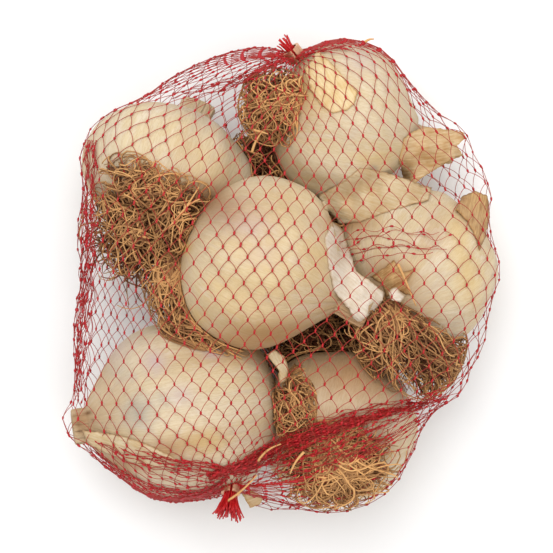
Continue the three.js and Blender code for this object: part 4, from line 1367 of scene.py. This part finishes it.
def make_paper(name, facts, material, seed):
    """A torn piece of skin: cut to its outline, draped on the bulbs and given its thickness."""
    rim, pixels, heights = drape(facts, seed)
    edges = [(i, (i + 1) % len(rim)) for i in range(len(rim))]
    flat = [Vector((x, y)) for x, y in pixels]
    _, _, faces, sources, _, _ = delaunay_2d_cdt(flat, edges, [], 1, 1e-4)
    kept = [source[0] for source in sources]
    places = place_of(pixels, heights)[kept]
    loops = np.array([corner for face in faces for corner in face])
    turn = math.radians(facts["turn"])
    along = places[:, 0] * math.cos(turn) + places[:, 1] * math.sin(turn)
    beside = places[:, 1] * math.cos(turn) - places[:, 0] * math.sin(turn)
    values = dict(edge=np.clip(1 - from_rim(pixels[kept], rim) / RIM_SHADE, 0, 1),
                  grain=np.stack([along, beside, 0 * along], axis=1))
    sizes = np.full(len(faces), 3)
    piece = new_mesh("skin_" + name, places, loops, sizes, material, "garlic_skin", values)
    thicken(piece)


def make_papers():
    kinds = {kind: dry_paper("paper_" + kind, *tones) for kind, tones in PAPER_TONES.items()}
    for seed, (name, facts) in enumerate(PAPERS.items()):
        make_paper(name, facts, kinds[facts["kind"]], 40 + seed)


def make_straws(material):
    """Pale straws and a few hairs on top of the net."""
    random = np.random.default_rng(77)
    paths = []
    for start, end in STRAWS:
        ends = np.array([start, end], float)
        places = place_of(ends[:, :2], ends[:, 2])
        share = np.linspace(0, 1, len(STRAW_RADII))[:, None]
        bend = np.cross(places[1] - places[0], [0.0, 0.0, 1.0]) * random.normal(0, 0.06)
        paths.append(places[0] * (1 - share) + places[1] * share + bend * np.sin(np.pi * share))
    paths = np.stack(paths)
    points, loops, sizes = sweep(paths, np.tile(STRAW_RADII, (len(paths), 1)))
    tone = np.full(len(points), 1.25)
    new_mesh("straws", points, loops, sizes, material, "dried_root", dict(tone=tone, along=tone))


# ---- clips, table and light -------------------------------------------------------------------
TAIL_POINTS = 8
TAIL_RADIUS = 0.24
# Each lamp's place in metres and its power.
LAMPS = {"key": ((-0.2, 0.5, 1.3), 11.0), "fill": ((0.5, -0.3, 1.2), 4.0)}


def dress_clips(material):
    for name in ENDS:
        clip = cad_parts[name]
        clip.data.materials.clear()
        clip.data.materials.append(material)


def make_tails(material):
    """The cut ends of the net: frayed strands that spread beyond each clip."""
    for index, (name, facts) in enumerate(ENDS.items()):
        random = np.random.default_rng(300 + index)
        count = facts["strands"]
        tail = unit(np.array(facts["tail"], float))
        side = unit(np.cross(tail, [0.0, 0.0, 1.0]))
        up = np.cross(side, tail)
        turn = random.random(count) * 2 * np.pi
        reach = np.sqrt(random.random(count))
        steps = np.linspace(0, 1, TAIL_POINTS)
        length = facts["tail_length"] * random.uniform(0.6, 1.1, count)
        along = -4.0 + (length + 6.4)[:, None] * steps[None, :]
        flare = 1.7 + facts["flare"] * np.clip((along - 2.4) / facts["tail_length"], 0, 1.2) ** 1.3
        wave = random.normal(0, 0.16, (count, TAIL_POINTS, 3)).cumsum(axis=1)
        out = side * np.cos(turn)[:, None] + up * np.sin(turn)[:, None]
        paths = (np.array(facts["at"], float) + tail * along[..., None]
                 + out[:, None] * (flare * reach[:, None])[..., None] + wave)
        radii = np.full((count, TAIL_POINTS), TAIL_RADIUS)
        new_mesh("tail_of_" + name, *sweep(paths, radii), material, "net_thread")


def add_table():
    bpy.ops.mesh.primitive_plane_add(size=6)
    table = bpy.context.object
    table.name = "table"
    shade = Shade("table", Roughness=0.8)
    shade.shader.inputs["Base Color"].default_value = (0.9, 0.9, 0.9, 1)
    table.data.materials.append(shade.material)
    table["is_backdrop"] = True


def add_light():
    world = bpy.data.worlds.new("world")
    bpy.context.scene.world = world
    world.use_nodes = True
    background = world.node_tree.nodes["Background"]
    background.inputs[0].default_value = (1, 1, 1, 1)
    background.inputs[1].default_value = 0.75
    for name, (place, power) in LAMPS.items():
        data = bpy.data.lights.new(name, "AREA")
        data.size = 1.0
        data.energy = power
        lamp = bpy.data.objects.new(name, data)
        lamp.location = place
        lamp.rotation_mode = "QUATERNION"
        lamp.rotation_quaternion = Vector(place).to_track_quat("Z", "Y")
        bpy.context.collection.objects.link(lamp)
    bpy.context.scene.view_settings.view_transform = "Standard"


# ---- the whole --------------------------------------------------------------------------------
add_camera()
add_table()
add_light()
for skin_index, bulb in enumerate(bulbs.values()):
    bpy.ops.object.select_all(action="DESELECT")
    make_bulb(bulb, garlic_skin("skin_" + bulb.name, skin_index * 1.7 + 0.4))
make_papers()
dry_roots = dried_root()
make_roots(dry_roots)
make_straws(dry_roots)
thread = net_thread("net_thread", THREAD_RED)
knot_thread = net_thread("net_knot_thread", KNOT_RED)
make_knots("net_knots", *make_net(thread), knot_thread)
make_knots("fold_knots", *make_folds(thread), knot_thread)
make_tails(net_thread("tail_thread", TAIL_RED))
dress_clips(clip_metal())

box_lists = [[list(corner) for corner in box] for box in (CAD_BOX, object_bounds())]
dict(cad=box_lists[0], visual=box_lists[1])
